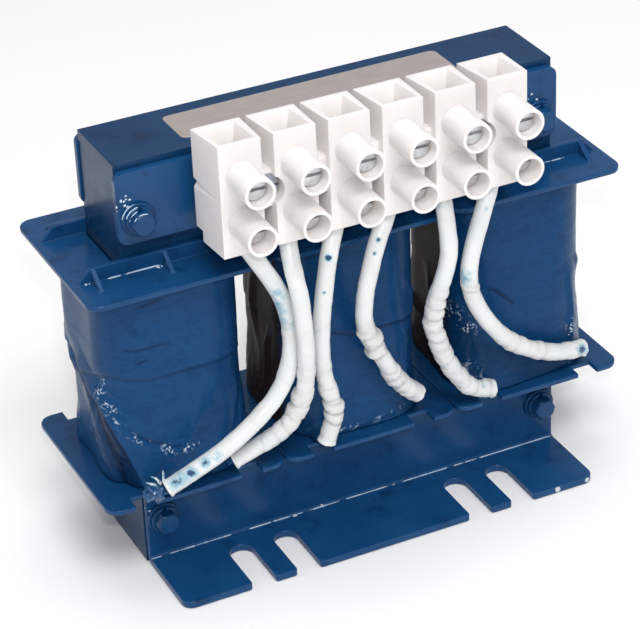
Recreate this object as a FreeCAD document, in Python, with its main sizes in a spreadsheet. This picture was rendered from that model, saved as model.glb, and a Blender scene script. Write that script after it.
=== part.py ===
import FreeCAD, Part
import math
import os

import Sketcher
from FreeCAD import Placement, Rotation, Vector

# Three-phase line reactor, millimetres. X runs along the three coils, Y to the rear, Z up.
# The origin is the middle of the underside, level with the feet of the two brackets.
SIZES = {
    # Laminated core: an E-stack with three legs, and a straight yoke above air gaps.
    "coil_pitch": 50.8,
    "leg_width": 22.2,
    "stack_depth": 23.6,
    "yoke_height": 27.0,
    "leg_length": 62.3,
    "air_gap": 2.0,
    # Bobbins.
    "bobbin_side_gap": 0.2,
    "bobbin_end_gap": 0.5,
    "flange_depth": 52.5,
    "flange_thickness": 1.4,
    "flange_corner": 4.0,
    "tube_wall": 1.2,
    "leg_clearance": 0.3,
    "notch_width": 5.9,
    "notch_depth": 4.5,
    "notch_offset": 15.0,
    "collar_thickness": 1.5,
    "collar_height": 3.9,
    "collar_end": 23.7,
    "collar_ramp": 3.8,
    "gusset_thickness": 1.4,
    "gusset_depth": 5.8,
    # Coils: winding, wrap and the broad band round the upper half.
    "winding_build": 6.0,
    "winding_end_gap": 0.4,
    "winding_corner": 11.6,
    "wrap_clearance": 0.1,
    "wrap_thickness": 0.8,
    "band_thickness": 0.5,
    "band_drop": 29.0,
    # Foot brackets.
    "bracket_thickness": 2.0,
    "bracket_end_inset": 0.3,
    "bracket_reach": 25.6,
    "bracket_top_gap": 0.6,
    "bend_radius": 0.8,
    "bracket_corner": 3.0,
    "slot_width": 6.8,
    "slot_length": 17.7,
    "slot_spacing_outer": 77.9,
    "slot_spacing_inner": 51.8,
    "slot_mouth_radius": 0.8,
    # Upper clamp plates.
    "plate_thickness": 2.0,
    "plate_overhang": 0.6,
    "plate_rise": 5.4,
    "plate_top_gap": 1.8,
    "plate_corner": 2.5,
    # Core bolts with their washers and nuts.
    "bolt_diameter": 4.0,
    "bolt_play": 0.4,
    "bolt_edge_inset": 4.8,
    "lower_bolt_inset": 14.1,
    "upper_bolt_inset": 14.8,
    "bolt_head_flats": 6.6,
    "bolt_head_height": 2.8,
    "bolt_tail": 1.6,
    "washer_diameter": 9.0,
    "washer_thickness": 1.0,
    "lock_washer_diameter": 7.6,
    "lock_washer_thickness": 1.0,
    "lock_washer_split": 0.8,
    "nut_flats": 7.0,
    "nut_height": 3.2,
    "nut_play": 0.1,
    "hexagon_bevel": 0.2,
    "hexagon_slope": 1.5,
    # Terminal block, measured from its back face and its middle height.
    "block_drop": 6.1,
    "pole_pitch": 14.77,
    "pole_setback": 4.7,
    "pole_back_width": 13.1,
    "pole_front_width": 11.4,
    "block_depth": 19.2,
    "block_half_height": 15.3,
    "block_back_half": 14.4,
    "foot_step_depth": 3.3,
    "foot_step_height": 3.0,
    "bridge_half_height": 5.0,
    "bridge_depth": 17.2,
    "groove_half": 1.3,
    "tower_diameter": 8.2,
    "tower_bore": 6.5,
    "tower_spacing": 12.8,
    "tower_length": 11.5,
    "entry_width": 9.5,
    "entry_wall": 1.2,
    "bar_setback": 11.5,
    "bar_side": 5.6,
    "bar_length": 20.0,
    "bar_play": 0.2,
    "bar_bore": 3.8,
    "mount_hole": 8.2,
    "mount_floor": 14.0,
    # Screws of the terminal block.
    "screw_head": 5.8,
    "screw_head_length": 4.0,
    "screw_shank": 3.5,
    "screw_shank_length": 11.0,
    "screw_play": 0.1,
    "screw_slot": 0.9,
    "screw_slot_depth": 1.0,
    "upper_recess": 3.2,
    "lower_recess": 5.4,
    "mount_screw_head": 7.4,
    "mount_screw_height": 2.2,
    # Sleeved leads.
    "lead_diameter": 4.7,
    # How far a cutting shape runs past the face it opens.
    "cut_margin": 1.0,
}

POLES = 6
COILS = {"left": -1, "centre": 0, "right": 1}

# Routes of the leads, from inside the block's lower wire entries down to the notches of the lower flanges.
LEAD_ROUTES = {
    "lead_1": [
        (-36.7, -25.3, 100.3), (-34.9, -27.8, 96.6), (-31.5, -30.9, 90.2), (-26.7, -29.9, 81.2),
        (-23.7, -28.7, 71.0), (-24.5, -28.7, 61.3), (-29.4, -29.6, 53.6), (-36.7, -30.2, 48.4),
        (-44.2, -29.8, 42.6), (-52.3, -28.7, 36.8), (-60.2, -27.2, 31.8),
    ],
    "lead_2": [
        (-22.1, -25.3, 100.3), (-23.7, -28.6, 96.5), (-24.5, -32.9, 89.7), (-23.7, -34.9, 82.2),
        (-23.0, -34.7, 73.5), (-22.0, -33.4, 64.1), (-21.7, -31.9, 55.0), (-22.9, -30.3, 47.1),
        (-26.5, -28.6, 40.3), (-31.7, -26.8, 36.1), (-36.8, -24.6, 32.5),
    ],
    "lead_3": [
        (-7.5, -25.3, 100.3), (-9.4, -27.9, 96.8), (-13.6, -31.2, 89.6), (-15.3, -31.4, 80.0),
        (-16.0, -30.2, 70.0), (-16.0, -29.0, 60.1), (-15.0, -28.6, 51.5), (-12.9, -28.4, 44.7),
        (-12.4, -28.0, 38.2), (-14.3, -26.6, 31.5),
    ],
    "lead_4": [
        (7.2, -25.3, 100.3), (5.7, -27.9, 96.4), (0.2, -31.3, 90.2), (-2.6, -31.9, 82.0),
        (-4.0, -31.0, 74.0), (-3.6, -29.4, 65.7), (-0.9, -27.9, 58.7), (3.0, -26.6, 51.5),
        (6.4, -25.4, 44.9), (10.5, -24.4, 39.5), (14.5, -23.6, 35.7),
    ],
    "lead_5": [
        (22.0, -25.3, 100.3), (20.6, -28.1, 96.2), (20.0, -31.5, 88.8), (20.5, -31.9, 80.5),
        (18.8, -30.8, 72.4), (16.7, -29.3, 64.6), (17.2, -28.1, 56.7), (20.3, -27.2, 48.0),
        (24.5, -26.5, 40.2), (28.4, -26.1, 35.2), (32.0, -25.8, 32.7), (36.0, -25.5, 31.6),
    ],
    "lead_6": [
        (36.6, -25.3, 100.3), (35.1, -27.9, 96.4), (30.6, -31.3, 90.0), (27.4, -31.9, 81.5),
        (26.2, -30.9, 72.8), (27.9, -29.6, 64.8), (32.0, -28.5, 56.8), (37.6, -27.4, 49.0),
        (44.3, -26.5, 42.8), (51.8, -25.4, 38.4), (59.3, -23.9, 35.1), (66.1, -22.4, 33.9),
    ],
}

# The lead's bends stay a little inside the corners of its route.
BEND_SHARE = 0.45

document = FreeCAD.newDocument("LineReactor")


def make_sheet():
    """Put every driving dimension in the sheet, each under its own name."""
    sheet = document.addObject("Spreadsheet::Sheet", "Sizes")
    for row, (name, number) in enumerate(SIZES.items(), start=1):
        sheet.set(f"A{row}", name)
        sheet.set(f"B{row}", str(number))
        sheet.setAlias(f"B{row}", name)
    document.recompute()
    return sheet


sheet = make_sheet()


def linked(expression):
    """The expression with each size's name pointing to its cell."""
    words = []
    word = ""
    for letter in expression + " ":
        if letter.isalnum() or letter == "_":
            word += letter
            continue
        words.append(f"Sizes.{word}" if word in SIZES else word)
        words.append(letter)
        word = ""
    return "".join(words).strip()


def value(expression):
    """The present value of an expression in millimetres."""
    return float(sheet.evalExpression(linked(expression)))


def bind(thing, **settings):
    """Bind properties of an object to expressions over the sheet."""
    for name, expression in settings.items():
        thing.setExpression(name, linked(expression))


def place(thing, x="0", y="0", z="0", turn=None):
    """Place an object by expressions, after an optional turn."""
    if turn:
        thing.Placement = Placement(Vector(), turn)
    for axis, expression in zip("xyz", (x, y, z)):
        thing.setExpression(f"Placement.Base.{axis}", linked(expression))


# Places that several pieces share.
CORE_HALF_WIDTH = "(coil_pitch + leg_width / 2)"
GAP_BOTTOM = "(yoke_height + leg_length)"
TOP_YOKE_BOTTOM = "(yoke_height + leg_length + air_gap)"
TOP_YOKE_TOP = "(2 * yoke_height + leg_length + air_gap)"
BOBBIN_HEIGHT = "(leg_length - bobbin_end_gap)"
TUBE_HALF_X = "(leg_width / 2 + leg_clearance + tube_wall)"
TUBE_HALF_Y = "(stack_depth / 2 + leg_clearance + tube_wall)"
BOLT_X = f"({CORE_HALF_WIDTH} - bolt_edge_inset)"
LOWER_BOLT_Z = "lower_bolt_inset"
UPPER_BOLT_Z = f"({TOP_YOKE_TOP} - upper_bolt_inset)"
BOLT_HOLE_RADIUS = "(bolt_diameter / 2 + bolt_play / 2)"
PLATE_FACE = "(stack_depth / 2 + plate_thickness)"
BRACKET_FACE = "(stack_depth / 2 + bracket_thickness)"
BRACKET_HALF_WIDTH = f"({CORE_HALF_WIDTH} - bracket_end_inset)"
PLATE_HALF_WIDTH = f"({CORE_HALF_WIDTH} + plate_overhang)"
BLOCK_Z = f"({TOP_YOKE_TOP} - block_drop)"
END_POLE_X = f"({POLES - 1} / 2 * pole_pitch)"
MOUNT_SCREW_X = f"({POLES - 2} / 2 * pole_pitch)"

FORWARD = Rotation(Vector(1, 0, 0), 90)
REARWARD = Rotation(Vector(1, 0, 0), -90)
HALF_TURN = Rotation(Vector(0, 0, 1), 180)


def new_body(label):
    body = document.addObject("PartDesign::Body", label)
    body.Label = label
    document.recompute()
    return body


def origin_feature(body, role):
    return next(item for item in body.Origin.OriginFeatures if item.Role == role)


def new_sketch(body, name, role, offset="0"):
    """A sketch on one of the body's own origin planes, or offset along its normal."""
    sketch = body.newObject("Sketcher::SketchObject", name)
    sketch.AttachmentSupport = (origin_feature(body, role), [""])
    sketch.MapMode = "FlatFace"
    sketch.setExpression("AttachmentOffset.Base.z", linked(offset))
    return sketch


def fix_point(sketch, geometry, position, x, y, name):
    """Hold one point of the sketch at two bound distances from the origin."""
    for kind, expression in (("DistanceX", x), ("DistanceY", y)):
        constraint = Sketcher.Constraint(kind, -1, 1, geometry, position, value(expression))
        index = sketch.addConstraint(constraint)
        label = f"{name}{kind[-1]}"
        sketch.renameConstraint(index, label)
        sketch.setExpression(f"Constraints.{label}", linked(expression))


def polygon(sketch, corners):
    """A closed outline through corners given as pairs of expressions."""
    points = [Vector(value(x), value(y), 0) for x, y in corners]
    first = sketch.GeometryCount
    count = len(points)
    for index in range(count):
        sketch.addGeometry(Part.LineSegment(points[index], points[(index + 1) % count]))
    for index in range(count):
        following = first + (index + 1) % count
        sketch.addConstraint(Sketcher.Constraint("Coincident", first + index, 2, following, 1))
    for index, (x, y) in enumerate(corners):
        fix_point(sketch, first + index, 1, x, y, f"corner{first + index}")


def rectangle(sketch, left, bottom, right, top):
    polygon(sketch, [(left, bottom), (right, bottom), (right, top), (left, top)])


def circle(sketch, x, y, radius):
    """A circle with its centre and radius bound."""
    index = sketch.addGeometry(Part.Circle(Vector(value(x), value(y), 0), Vector(0, 0, 1), value(radius)))
    fix_point(sketch, index, 3, x, y, f"centre{index}")
    constraint = sketch.addConstraint(Sketcher.Constraint("Radius", index, value(radius)))
    sketch.renameConstraint(constraint, f"radius{index}")
    sketch.setExpression(f"Constraints.radius{index}", linked(radius))


def pad(body, sketch, length, both_ways=False, reverse=False):
    feature = body.newObject("PartDesign::Pad", f"{sketch.Name}Pad")
    feature.Profile = sketch
    feature.SideType = "Symmetric" if both_ways else "One side"
    feature.Reversed = reverse
    bind(feature, Length=length)
    body.Tip = feature
    document.recompute()
    return feature


def pocket(body, sketch, length=None, reverse=False):
    """Cut a sketch to a depth, or right through on both sides of its plane."""
    feature = body.newObject("PartDesign::Pocket", f"{sketch.Name}Pocket")
    feature.Profile = sketch
    feature.Reversed = reverse
    if length is None:
        feature.SideType = "Symmetric"
        feature.Type = "ThroughAll"
    else:
        bind(feature, Length=length)
    before = body.Shape.Volume
    body.Tip = feature
    document.recompute()
    if not body.Shape.Volume < before - 0.01:
        raise ValueError(f"{feature.Name} cuts nothing")
    return feature


def fillet(body, name, radius, wanted):
    """Round the edges of the body's tip that the test picks."""
    base = body.Tip
    names = [f"Edge{n}" for n, edge in enumerate(base.Shape.Edges, start=1) if wanted(edge)]
    if not names:
        raise ValueError(f"{name} finds no edge")
    feature = body.newObject("PartDesign::Fillet", name)
    feature.Base = (base, names)
    bind(feature, Radius=radius)
    body.Tip = feature
    document.recompute()
    return feature


def pattern(body, name, originals, spacing, count):
    """Repeat features along X."""
    feature = body.newObject("PartDesign::LinearPattern", name)
    feature.Originals = originals
    feature.Direction = (origin_feature(body, "X_Axis"), [""])
    feature.Mode = "Spacing"
    feature.Occurrences = count
    bind(feature, Offset=spacing)
    body.Tip = feature
    document.recompute()
    return feature


def near(first, second):
    return abs(first - second) < 0.01


def runs_along(edge, axis):
    """Whether an edge is straight along X, Y or Z."""
    if not isinstance(edge.Curve, (Part.Line, Part.LineSegment)):
        return False
    start, end = edge.Vertexes[0].Point, edge.Vertexes[-1].Point
    return all(near(start[n], end[n]) for n in range(3) if n != "xyz".index(axis))


def corner_edges(axis, first, second):
    """A test for edges along an axis whose other two places, in X Y Z order, have these sizes."""
    others = [n for n in range(3) if n != "xyz".index(axis)]
    targets = (value(first), value(second))

    def wanted(edge):
        middle = edge.CenterOfMass
        return runs_along(edge, axis) and all(
            near(abs(middle[n]), target) for n, target in zip(others, targets)
        )

    return wanted


# Core and its spacers.


def make_e_stack():
    """The E-shaped stack: lower yoke and three legs."""
    body = new_body("core_e_stack")
    outline = new_sketch(body, "EOutline", "XZ_Plane")
    edge, top = CORE_HALF_WIDTH, GAP_BOTTOM
    inner, half_leg = "(coil_pitch - leg_width / 2)", "leg_width / 2"
    right = [
        (edge, "0"), (edge, top), (inner, top), (inner, "yoke_height"),
        (half_leg, "yoke_height"), (half_leg, top),
    ]
    left = [(f"-{x}", z) for x, z in reversed(right)]
    polygon(outline, right + left)
    pad(body, outline, "stack_depth", both_ways=True)
    holes = new_sketch(body, "EHoles", "XZ_Plane")
    for side in ("-", ""):
        circle(holes, f"{side}{BOLT_X}", LOWER_BOLT_Z, BOLT_HOLE_RADIUS)
    pocket(body, holes)
    return body


def make_top_yoke():
    """The straight stack that closes the three legs."""
    body = new_body("core_top_yoke")
    outline = new_sketch(body, "YokeOutline", "XZ_Plane")
    rectangle(outline, f"-{CORE_HALF_WIDTH}", TOP_YOKE_BOTTOM, CORE_HALF_WIDTH, TOP_YOKE_TOP)
    pad(body, outline, "stack_depth", both_ways=True)
    holes = new_sketch(body, "YokeHoles", "XZ_Plane")
    for side in ("-", ""):
        circle(holes, f"{side}{BOLT_X}", UPPER_BOLT_Z, BOLT_HOLE_RADIUS)
    pocket(body, holes)
    return body


def make_gap_spacer(name, side):
    """The insulating slip that keeps one leg off the yoke."""
    spacer = document.addObject("Part::Box", f"gap_spacer_{name}")
    spacer.Label = f"gap_spacer_{name}"
    bind(spacer, Length="leg_width", Width="stack_depth", Height="air_gap")
    place(spacer, f"{side} * coil_pitch - leg_width / 2", "-stack_depth / 2", GAP_BOTTOM)
    return spacer


# Coils.


def make_bobbin(name, side):
    """A moulded former: tube, two flanges, lead notches below and gusseted collars above."""
    body = new_body(f"bobbin_{name}")
    half_flange, half_depth = "(coil_pitch / 2 - bobbin_side_gap / 2)", "flange_depth / 2"
    upper_face = f"({BOBBIN_HEIGHT} - flange_thickness)"

    lower = new_sketch(body, f"LowerFlange_{name}", "XY_Plane")
    rectangle(lower, f"-{half_flange}", f"-{half_depth}", half_flange, half_depth)
    pad(body, lower, "flange_thickness")
    tube = new_sketch(body, f"Tube_{name}", "XY_Plane")
    rectangle(tube, f"-{TUBE_HALF_X}", f"-{TUBE_HALF_Y}", TUBE_HALF_X, TUBE_HALF_Y)
    pad(body, tube, BOBBIN_HEIGHT)
    upper = new_sketch(body, f"UpperFlange_{name}", "XY_Plane", upper_face)
    rectangle(upper, f"-{half_flange}", f"-{half_depth}", half_flange, half_depth)
    pad(body, upper, "flange_thickness")
    fillet(body, f"FlangeCorners_{name}", "flange_corner", corner_edges("z", half_flange, half_depth))
    add_collars(body, name, upper_face)

    bore = new_sketch(body, f"LegHole_{name}", "XY_Plane")
    clear_x = "(leg_width / 2 + leg_clearance)"
    clear_y = "(stack_depth / 2 + leg_clearance)"
    rectangle(bore, f"-{clear_x}", f"-{clear_y}", clear_x, clear_y)
    pocket(body, bore)

    notches = new_sketch(body, f"Notches_{name}", "XY_Plane")
    for x in ("-notch_offset", "notch_offset"):
        left, right = f"{x} - notch_width / 2", f"{x} + notch_width / 2"
        rectangle(notches, left, f"-{half_depth} - cut_margin", right, f"notch_depth - {half_depth}")
        rectangle(notches, left, f"{half_depth} - notch_depth", right, f"{half_depth} + cut_margin")
    pocket(body, notches, "flange_thickness", reverse=True)
    place(body, f"{side} * coil_pitch", "0", "yoke_height")
    return body


def add_collars(body, name, bottom):
    """A low wall in front of the yoke and one behind it, ramped at its ends and held by gussets."""
    inner = "(stack_depth / 2 + leg_clearance)"
    outer = f"({inner} + collar_thickness)"
    crest = f"({BOBBIN_HEIGHT} + collar_height)"
    level = "(collar_end - collar_ramp)"
    for row, plane in (("Front", inner), ("Rear", f"-{outer}")):
        wall = new_sketch(body, f"Collar{row}_{name}", "XZ_Plane", plane)
        polygon(wall, [
            ("-collar_end", bottom), ("collar_end", bottom), ("collar_end", BOBBIN_HEIGHT),
            (level, crest), (f"-{level}", crest), ("-collar_end", BOBBIN_HEIGHT),
        ])
        pad(body, wall, "collar_thickness")
    outermost = f"({level} - gusset_thickness / 2)"
    for place_name, x in (("Left", f"-{outermost}"), ("Middle", "0"), ("Right", outermost)):
        gussets = new_sketch(body, f"Gussets{place_name}_{name}", "YZ_Plane", x)
        for sign in ("-", ""):
            toe = f"{sign}({outer} + gusset_depth)"
            polygon(gussets, [
                (f"{sign}{inner}", bottom), (toe, bottom), (toe, BOBBIN_HEIGHT),
                (f"{sign}{outer}", crest), (f"{sign}{inner}", crest),
            ])
        pad(body, gussets, "gusset_thickness", both_ways=True)


def make_ring(body, name, inner, outer, inner_corner, outer_corner, bottom, height):
    """A rounded rectangular sleeve, given its half-widths in X and Y inside and outside."""
    sleeve = new_sketch(body, name, "XY_Plane", bottom)
    rounded_rectangle(sleeve, outer[0], outer[1], outer_corner)
    if inner_corner:
        rounded_rectangle(sleeve, inner[0], inner[1], inner_corner)
    else:
        rectangle(sleeve, f"-{inner[0]}", f"-{inner[1]}", inner[0], inner[1])
    return pad(body, sleeve, height)


COIL_BOTTOM = "(yoke_height + flange_thickness + winding_end_gap)"
COIL_HEIGHT = f"({BOBBIN_HEIGHT} - 2 * flange_thickness - 2 * winding_end_gap)"


def make_winding(name, side):
    """The copper winding, its turns taken as one ring."""
    body = new_body(f"winding_{name}")
    clear = "wrap_clearance"
    inner = (f"({TUBE_HALF_X} + {clear})", f"({TUBE_HALF_Y} + {clear})")
    outer = (f"({TUBE_HALF_X} + winding_build)", f"({TUBE_HALF_Y} + winding_build)")
    make_ring(body, f"Winding_{name}", inner, outer, None, "winding_corner", COIL_BOTTOM, COIL_HEIGHT)
    place(body, f"{side} * coil_pitch")
    return body


def make_wrap(name, side):
    """The coil's outer wrap, thicker where the broad band goes round the upper half."""
    body = new_body(f"coil_wrap_{name}")
    grow = "winding_build + wrap_clearance"
    inner = (f"({TUBE_HALF_X} + {grow})", f"({TUBE_HALF_Y} + {grow})")
    outer = tuple(f"({half} + wrap_thickness)" for half in inner)
    corner = "winding_corner + wrap_clearance"
    make_ring(
        body, f"Wrap_{name}", inner, outer, corner, f"{corner} + wrap_thickness", COIL_BOTTOM, COIL_HEIGHT
    )
    wide = tuple(f"({half} + band_thickness)" for half in outer)
    band_bottom = f"{COIL_BOTTOM} + {COIL_HEIGHT} - band_drop"
    make_ring(
        body, f"Band_{name}", outer, wide, f"{corner} + wrap_thickness",
        f"{corner} + wrap_thickness + band_thickness", band_bottom, "band_drop",
    )
    place(body, f"{side} * coil_pitch")
    return body


def rounded_rectangle(sketch, half_x, half_y, corner):
    """Four straight sides and four quarter arcs about the origin."""
    x, y, r = value(half_x), value(half_y), value(corner)
    first = sketch.GeometryCount
    quarters = [(1, -1, -90), (1, 1, 0), (-1, 1, 90), (-1, -1, 180)]
    for right, up, start in quarters:
        centre = Vector(right * (x - r), up * (y - r), 0)
        arc_circle = Part.Circle(centre, Vector(0, 0, 1), r)
        begin, end = math.radians(start), math.radians(start + 90)
        sketch.addGeometry(Part.ArcOfCircle(arc_circle, begin, end))
    ends = [sketch.Geometry[first + n] for n in range(4)]
    for n in range(4):
        sketch.addGeometry(Part.LineSegment(ends[n].EndPoint, ends[(n + 1) % 4].StartPoint))
    for n in range(4):
        line, following = first + 4 + n, first + (n + 1) % 4
        sketch.addConstraint(Sketcher.Constraint("Tangent", first + n, 2, line, 1))
        sketch.addConstraint(Sketcher.Constraint("Tangent", line, 2, following, 1))
    for n in range(3):
        sketch.addConstraint(Sketcher.Constraint("Equal", first + n, first + n + 1))
    inset_x, inset_y = f"{half_x} - ({corner})", f"{half_y} - ({corner})"
    fix_point(sketch, first + 1, 3, inset_x, inset_y, f"inset{first}")
    fix_point(sketch, first + 3, 3, f"-({inset_x})", f"-({inset_y})", f"opposite{first}")
    index = sketch.addConstraint(Sketcher.Constraint("Radius", first, r))
    sketch.renameConstraint(index, f"corner{first}")
    sketch.setExpression(f"Constraints.corner{first}", linked(corner))
    sketch.addConstraint(Sketcher.Constraint("Vertical", first + 4))


# Brackets and clamp plates.


def make_foot_bracket(name, turn):
    """A folded angle: an upright web on the core and a foot with four slots open at its edge."""
    body = new_body(name)
    profile = new_sketch(body, f"Angle_{name}", "YZ_Plane")
    core, face = "-stack_depth / 2", f"-{BRACKET_FACE}"
    edge = "(-stack_depth / 2 - bracket_reach)"
    top = "(yoke_height - bracket_top_gap)"
    polygon(profile, [
        (core, "0"), (core, top), (face, top), (face, "bracket_thickness"),
        (edge, "bracket_thickness"), (edge, "0"),
    ])
    pad(body, profile, f"2 * {BRACKET_HALF_WIDTH}", both_ways=True)
    outer_bend = corner_edges("x", "stack_depth / 2", "0")
    inner_bend = corner_edges("x", BRACKET_FACE, "bracket_thickness")
    fillet(body, f"OuterBend_{name}", "bend_radius + bracket_thickness", outer_bend)
    fillet(body, f"InnerBend_{name}", "bend_radius", inner_bend)
    foot_edge = "stack_depth / 2 + bracket_reach"
    foot_corners = corner_edges("z", BRACKET_HALF_WIDTH, foot_edge)
    fillet(body, f"FootCorners_{name}", "bracket_corner", foot_corners)

    slots = new_sketch(body, f"Slots_{name}", "XY_Plane")
    ends = new_sketch(body, f"SlotEnds_{name}", "XY_Plane")
    arc_y = f"({edge} + slot_length - slot_width / 2)"
    mouth_edges = []
    for spacing in ("slot_spacing_outer", "slot_spacing_inner"):
        mouth_edges += [value(f"{spacing} / 2 {side} slot_width / 2") for side in "+-"]
        for side in ("-", ""):
            x = f"{side}{spacing} / 2"
            left, right = f"{x} - slot_width / 2", f"{x} + slot_width / 2"
            rectangle(slots, left, f"{edge} - cut_margin", right, arc_y)
            circle(ends, x, arc_y, "slot_width / 2")
    pocket(body, slots, "bracket_thickness", reverse=True)
    pocket(body, ends, "bracket_thickness", reverse=True)
    reach = value(foot_edge)

    def mouth(edge):
        middle = edge.CenterOfMass
        in_slot = any(near(abs(middle.x), x) for x in mouth_edges)
        return in_slot and runs_along(edge, "z") and near(middle.y, -reach)

    fillet(body, f"SlotMouths_{name}", "slot_mouth_radius", mouth)
    holes = new_sketch(body, f"WebHoles_{name}", "XZ_Plane")
    for side in ("-", ""):
        circle(holes, f"{side}{BOLT_X}", LOWER_BOLT_Z, BOLT_HOLE_RADIUS)
    pocket(body, holes)
    place(body, turn=turn)
    return body


def make_clamp_plate(name, turn, tapped):
    """A flat plate with rounded corners; the front one is tapped for the terminal block."""
    body = new_body(name)
    outline = new_sketch(body, f"Plate_{name}", "XZ_Plane", "stack_depth / 2")
    bottom, top = f"{TOP_YOKE_BOTTOM} + plate_rise", f"{TOP_YOKE_TOP} - plate_top_gap"
    rectangle(outline, f"-{PLATE_HALF_WIDTH}", bottom, PLATE_HALF_WIDTH, top)
    pad(body, outline, "plate_thickness")
    for level in (bottom, top):
        edges = corner_edges("y", PLATE_HALF_WIDTH, level)
        fillet(body, f"PlateCorners_{name}", "plate_corner", edges)
    holes = new_sketch(body, f"PlateHoles_{name}", "XZ_Plane")
    for side in ("-", ""):
        circle(holes, f"{side}{BOLT_X}", UPPER_BOLT_Z, BOLT_HOLE_RADIUS)
        if tapped:
            circle(holes, f"{side}{MOUNT_SCREW_X}", BLOCK_Z, "screw_shank / 2 + screw_play / 2")
    pocket(body, holes)
    place(body, turn=turn)
    return body


# Core bolts.


def cylinder(name, diameter, length, x, y, z, turn):
    """A cylinder whose base centre is placed and whose axis is turned forward or rearward."""
    rod = document.addObject("Part::Cylinder", name)
    bind(rod, Radius=f"({diameter}) / 2", Height=length)
    place(rod, x, y, z, turn)
    return rod


def hexagon(name, flats, height, x, y, z, turn):
    """A hexagon with its outer corners turned off."""
    prism = document.addObject("Part::Prism", f"{name}_prism")
    prism.Polygon = 6
    bind(prism, Circumradius=f"{flats} / sqrt(3)", Height=height)
    place(prism, x, y, z, turn)
    cone = document.addObject("Part::Cone", f"{name}_cone")
    bind(
        cone, Radius1=f"{flats} / 2 + ({height}) * hexagon_slope",
        Radius2=f"{flats} / 2 - hexagon_bevel", Height=height,
    )
    place(cone, x, y, z, turn)
    common = document.addObject("Part::MultiCommon", f"{name}_hexagon")
    common.Shapes = [prism, cone]
    return common


def cut(name, base, tool):
    result = document.addObject("Part::Cut", name)
    result.Base = base
    result.Tool = tool
    return result


def group(label, pieces):
    """Identical small pieces that share one node, each a separate solid."""
    compound = document.addObject("Part::Compound", label)
    compound.Label = label
    compound.Links = pieces
    return compound


BOLT_PLACES = {
    "lower_left": (f"-{BOLT_X}", LOWER_BOLT_Z, BRACKET_FACE),
    "lower_right": (BOLT_X, LOWER_BOLT_Z, BRACKET_FACE),
    "upper_left": (f"-{BOLT_X}", UPPER_BOLT_Z, PLATE_FACE),
    "upper_right": (BOLT_X, UPPER_BOLT_Z, PLATE_FACE),
}


def make_bolt(name, x, z, face):
    """A through bolt: hexagon head at the front, shank to the nut at the rear."""
    seat = f"({face} + washer_thickness + lock_washer_thickness)"
    head = hexagon(f"head_{name}", "bolt_head_flats", "bolt_head_height", x, f"-{seat}", z, FORWARD)
    reach = f"({seat} + {face} + washer_thickness + nut_height + bolt_tail)"
    shank = cylinder(f"shank_{name}", "bolt_diameter", reach, x, f"-{seat}", z, REARWARD)
    bolt = document.addObject("Part::MultiFuse", f"core_bolt_{name}")
    bolt.Label = f"core_bolt_{name}"
    bolt.Shapes = [head, shank]
    return bolt


def make_washer(name, diameter, thickness, x, y, z, turn):
    disc = cylinder(f"{name}_disc", diameter, thickness, x, y, z, turn)
    hole = cylinder(f"{name}_hole", f"2 * {BOLT_HOLE_RADIUS}", thickness, x, y, z, turn)
    return cut(name, disc, hole)


def make_lock_washer(name, x, z, face):
    """A spring washer: a square-section ring with one narrow slanted gap."""
    seat = f"-({face} + washer_thickness)"
    size, thickness = "lock_washer_diameter", "lock_washer_thickness"
    ring = make_washer(f"spring_{name}", size, thickness, x, seat, z, FORWARD)
    gap = document.addObject("Part::Box", f"split_{name}")
    bind(gap, Length="lock_washer_split", Width=f"{thickness} + 2 * cut_margin", Height=size)
    place(gap, f"{x} - lock_washer_split / 2", f"{seat} - {thickness} - cut_margin", z)
    return cut(f"lock_washer_{name}", ring, gap)


def make_nut(name, x, z, face):
    seat = f"({face} + washer_thickness)"
    blank = hexagon(f"nut_{name}", "nut_flats", "nut_height", x, seat, z, REARWARD)
    bore = cylinder(f"nut_bore_{name}", "bolt_diameter + nut_play", "nut_height", x, seat, z, REARWARD)
    return cut(f"nut_{name}_bored", blank, bore)


def make_fasteners():
    """Four through bolts with flat washers at both ends, spring washers under the heads, and nuts."""
    front, rear, springs, nuts, bolts = [], [], [], [], []
    for name, (x, z, face) in BOLT_PLACES.items():
        bolts.append(make_bolt(name, x, z, face))
        size, thickness = "washer_diameter", "washer_thickness"
        front.append(make_washer(f"front_washer_{name}", size, thickness, x, f"-{face}", z, FORWARD))
        rear.append(make_washer(f"rear_washer_{name}", size, thickness, x, face, z, REARWARD))
        springs.append(make_lock_washer(name, x, z, face))
        nuts.append(make_nut(name, x, z, face))
    return bolts + [
        group("front_flat_washers", front),
        group("rear_flat_washers", rear),
        group("front_lock_washers", springs),
        group("core_nuts", nuts),
    ]


# Terminal block.


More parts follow.
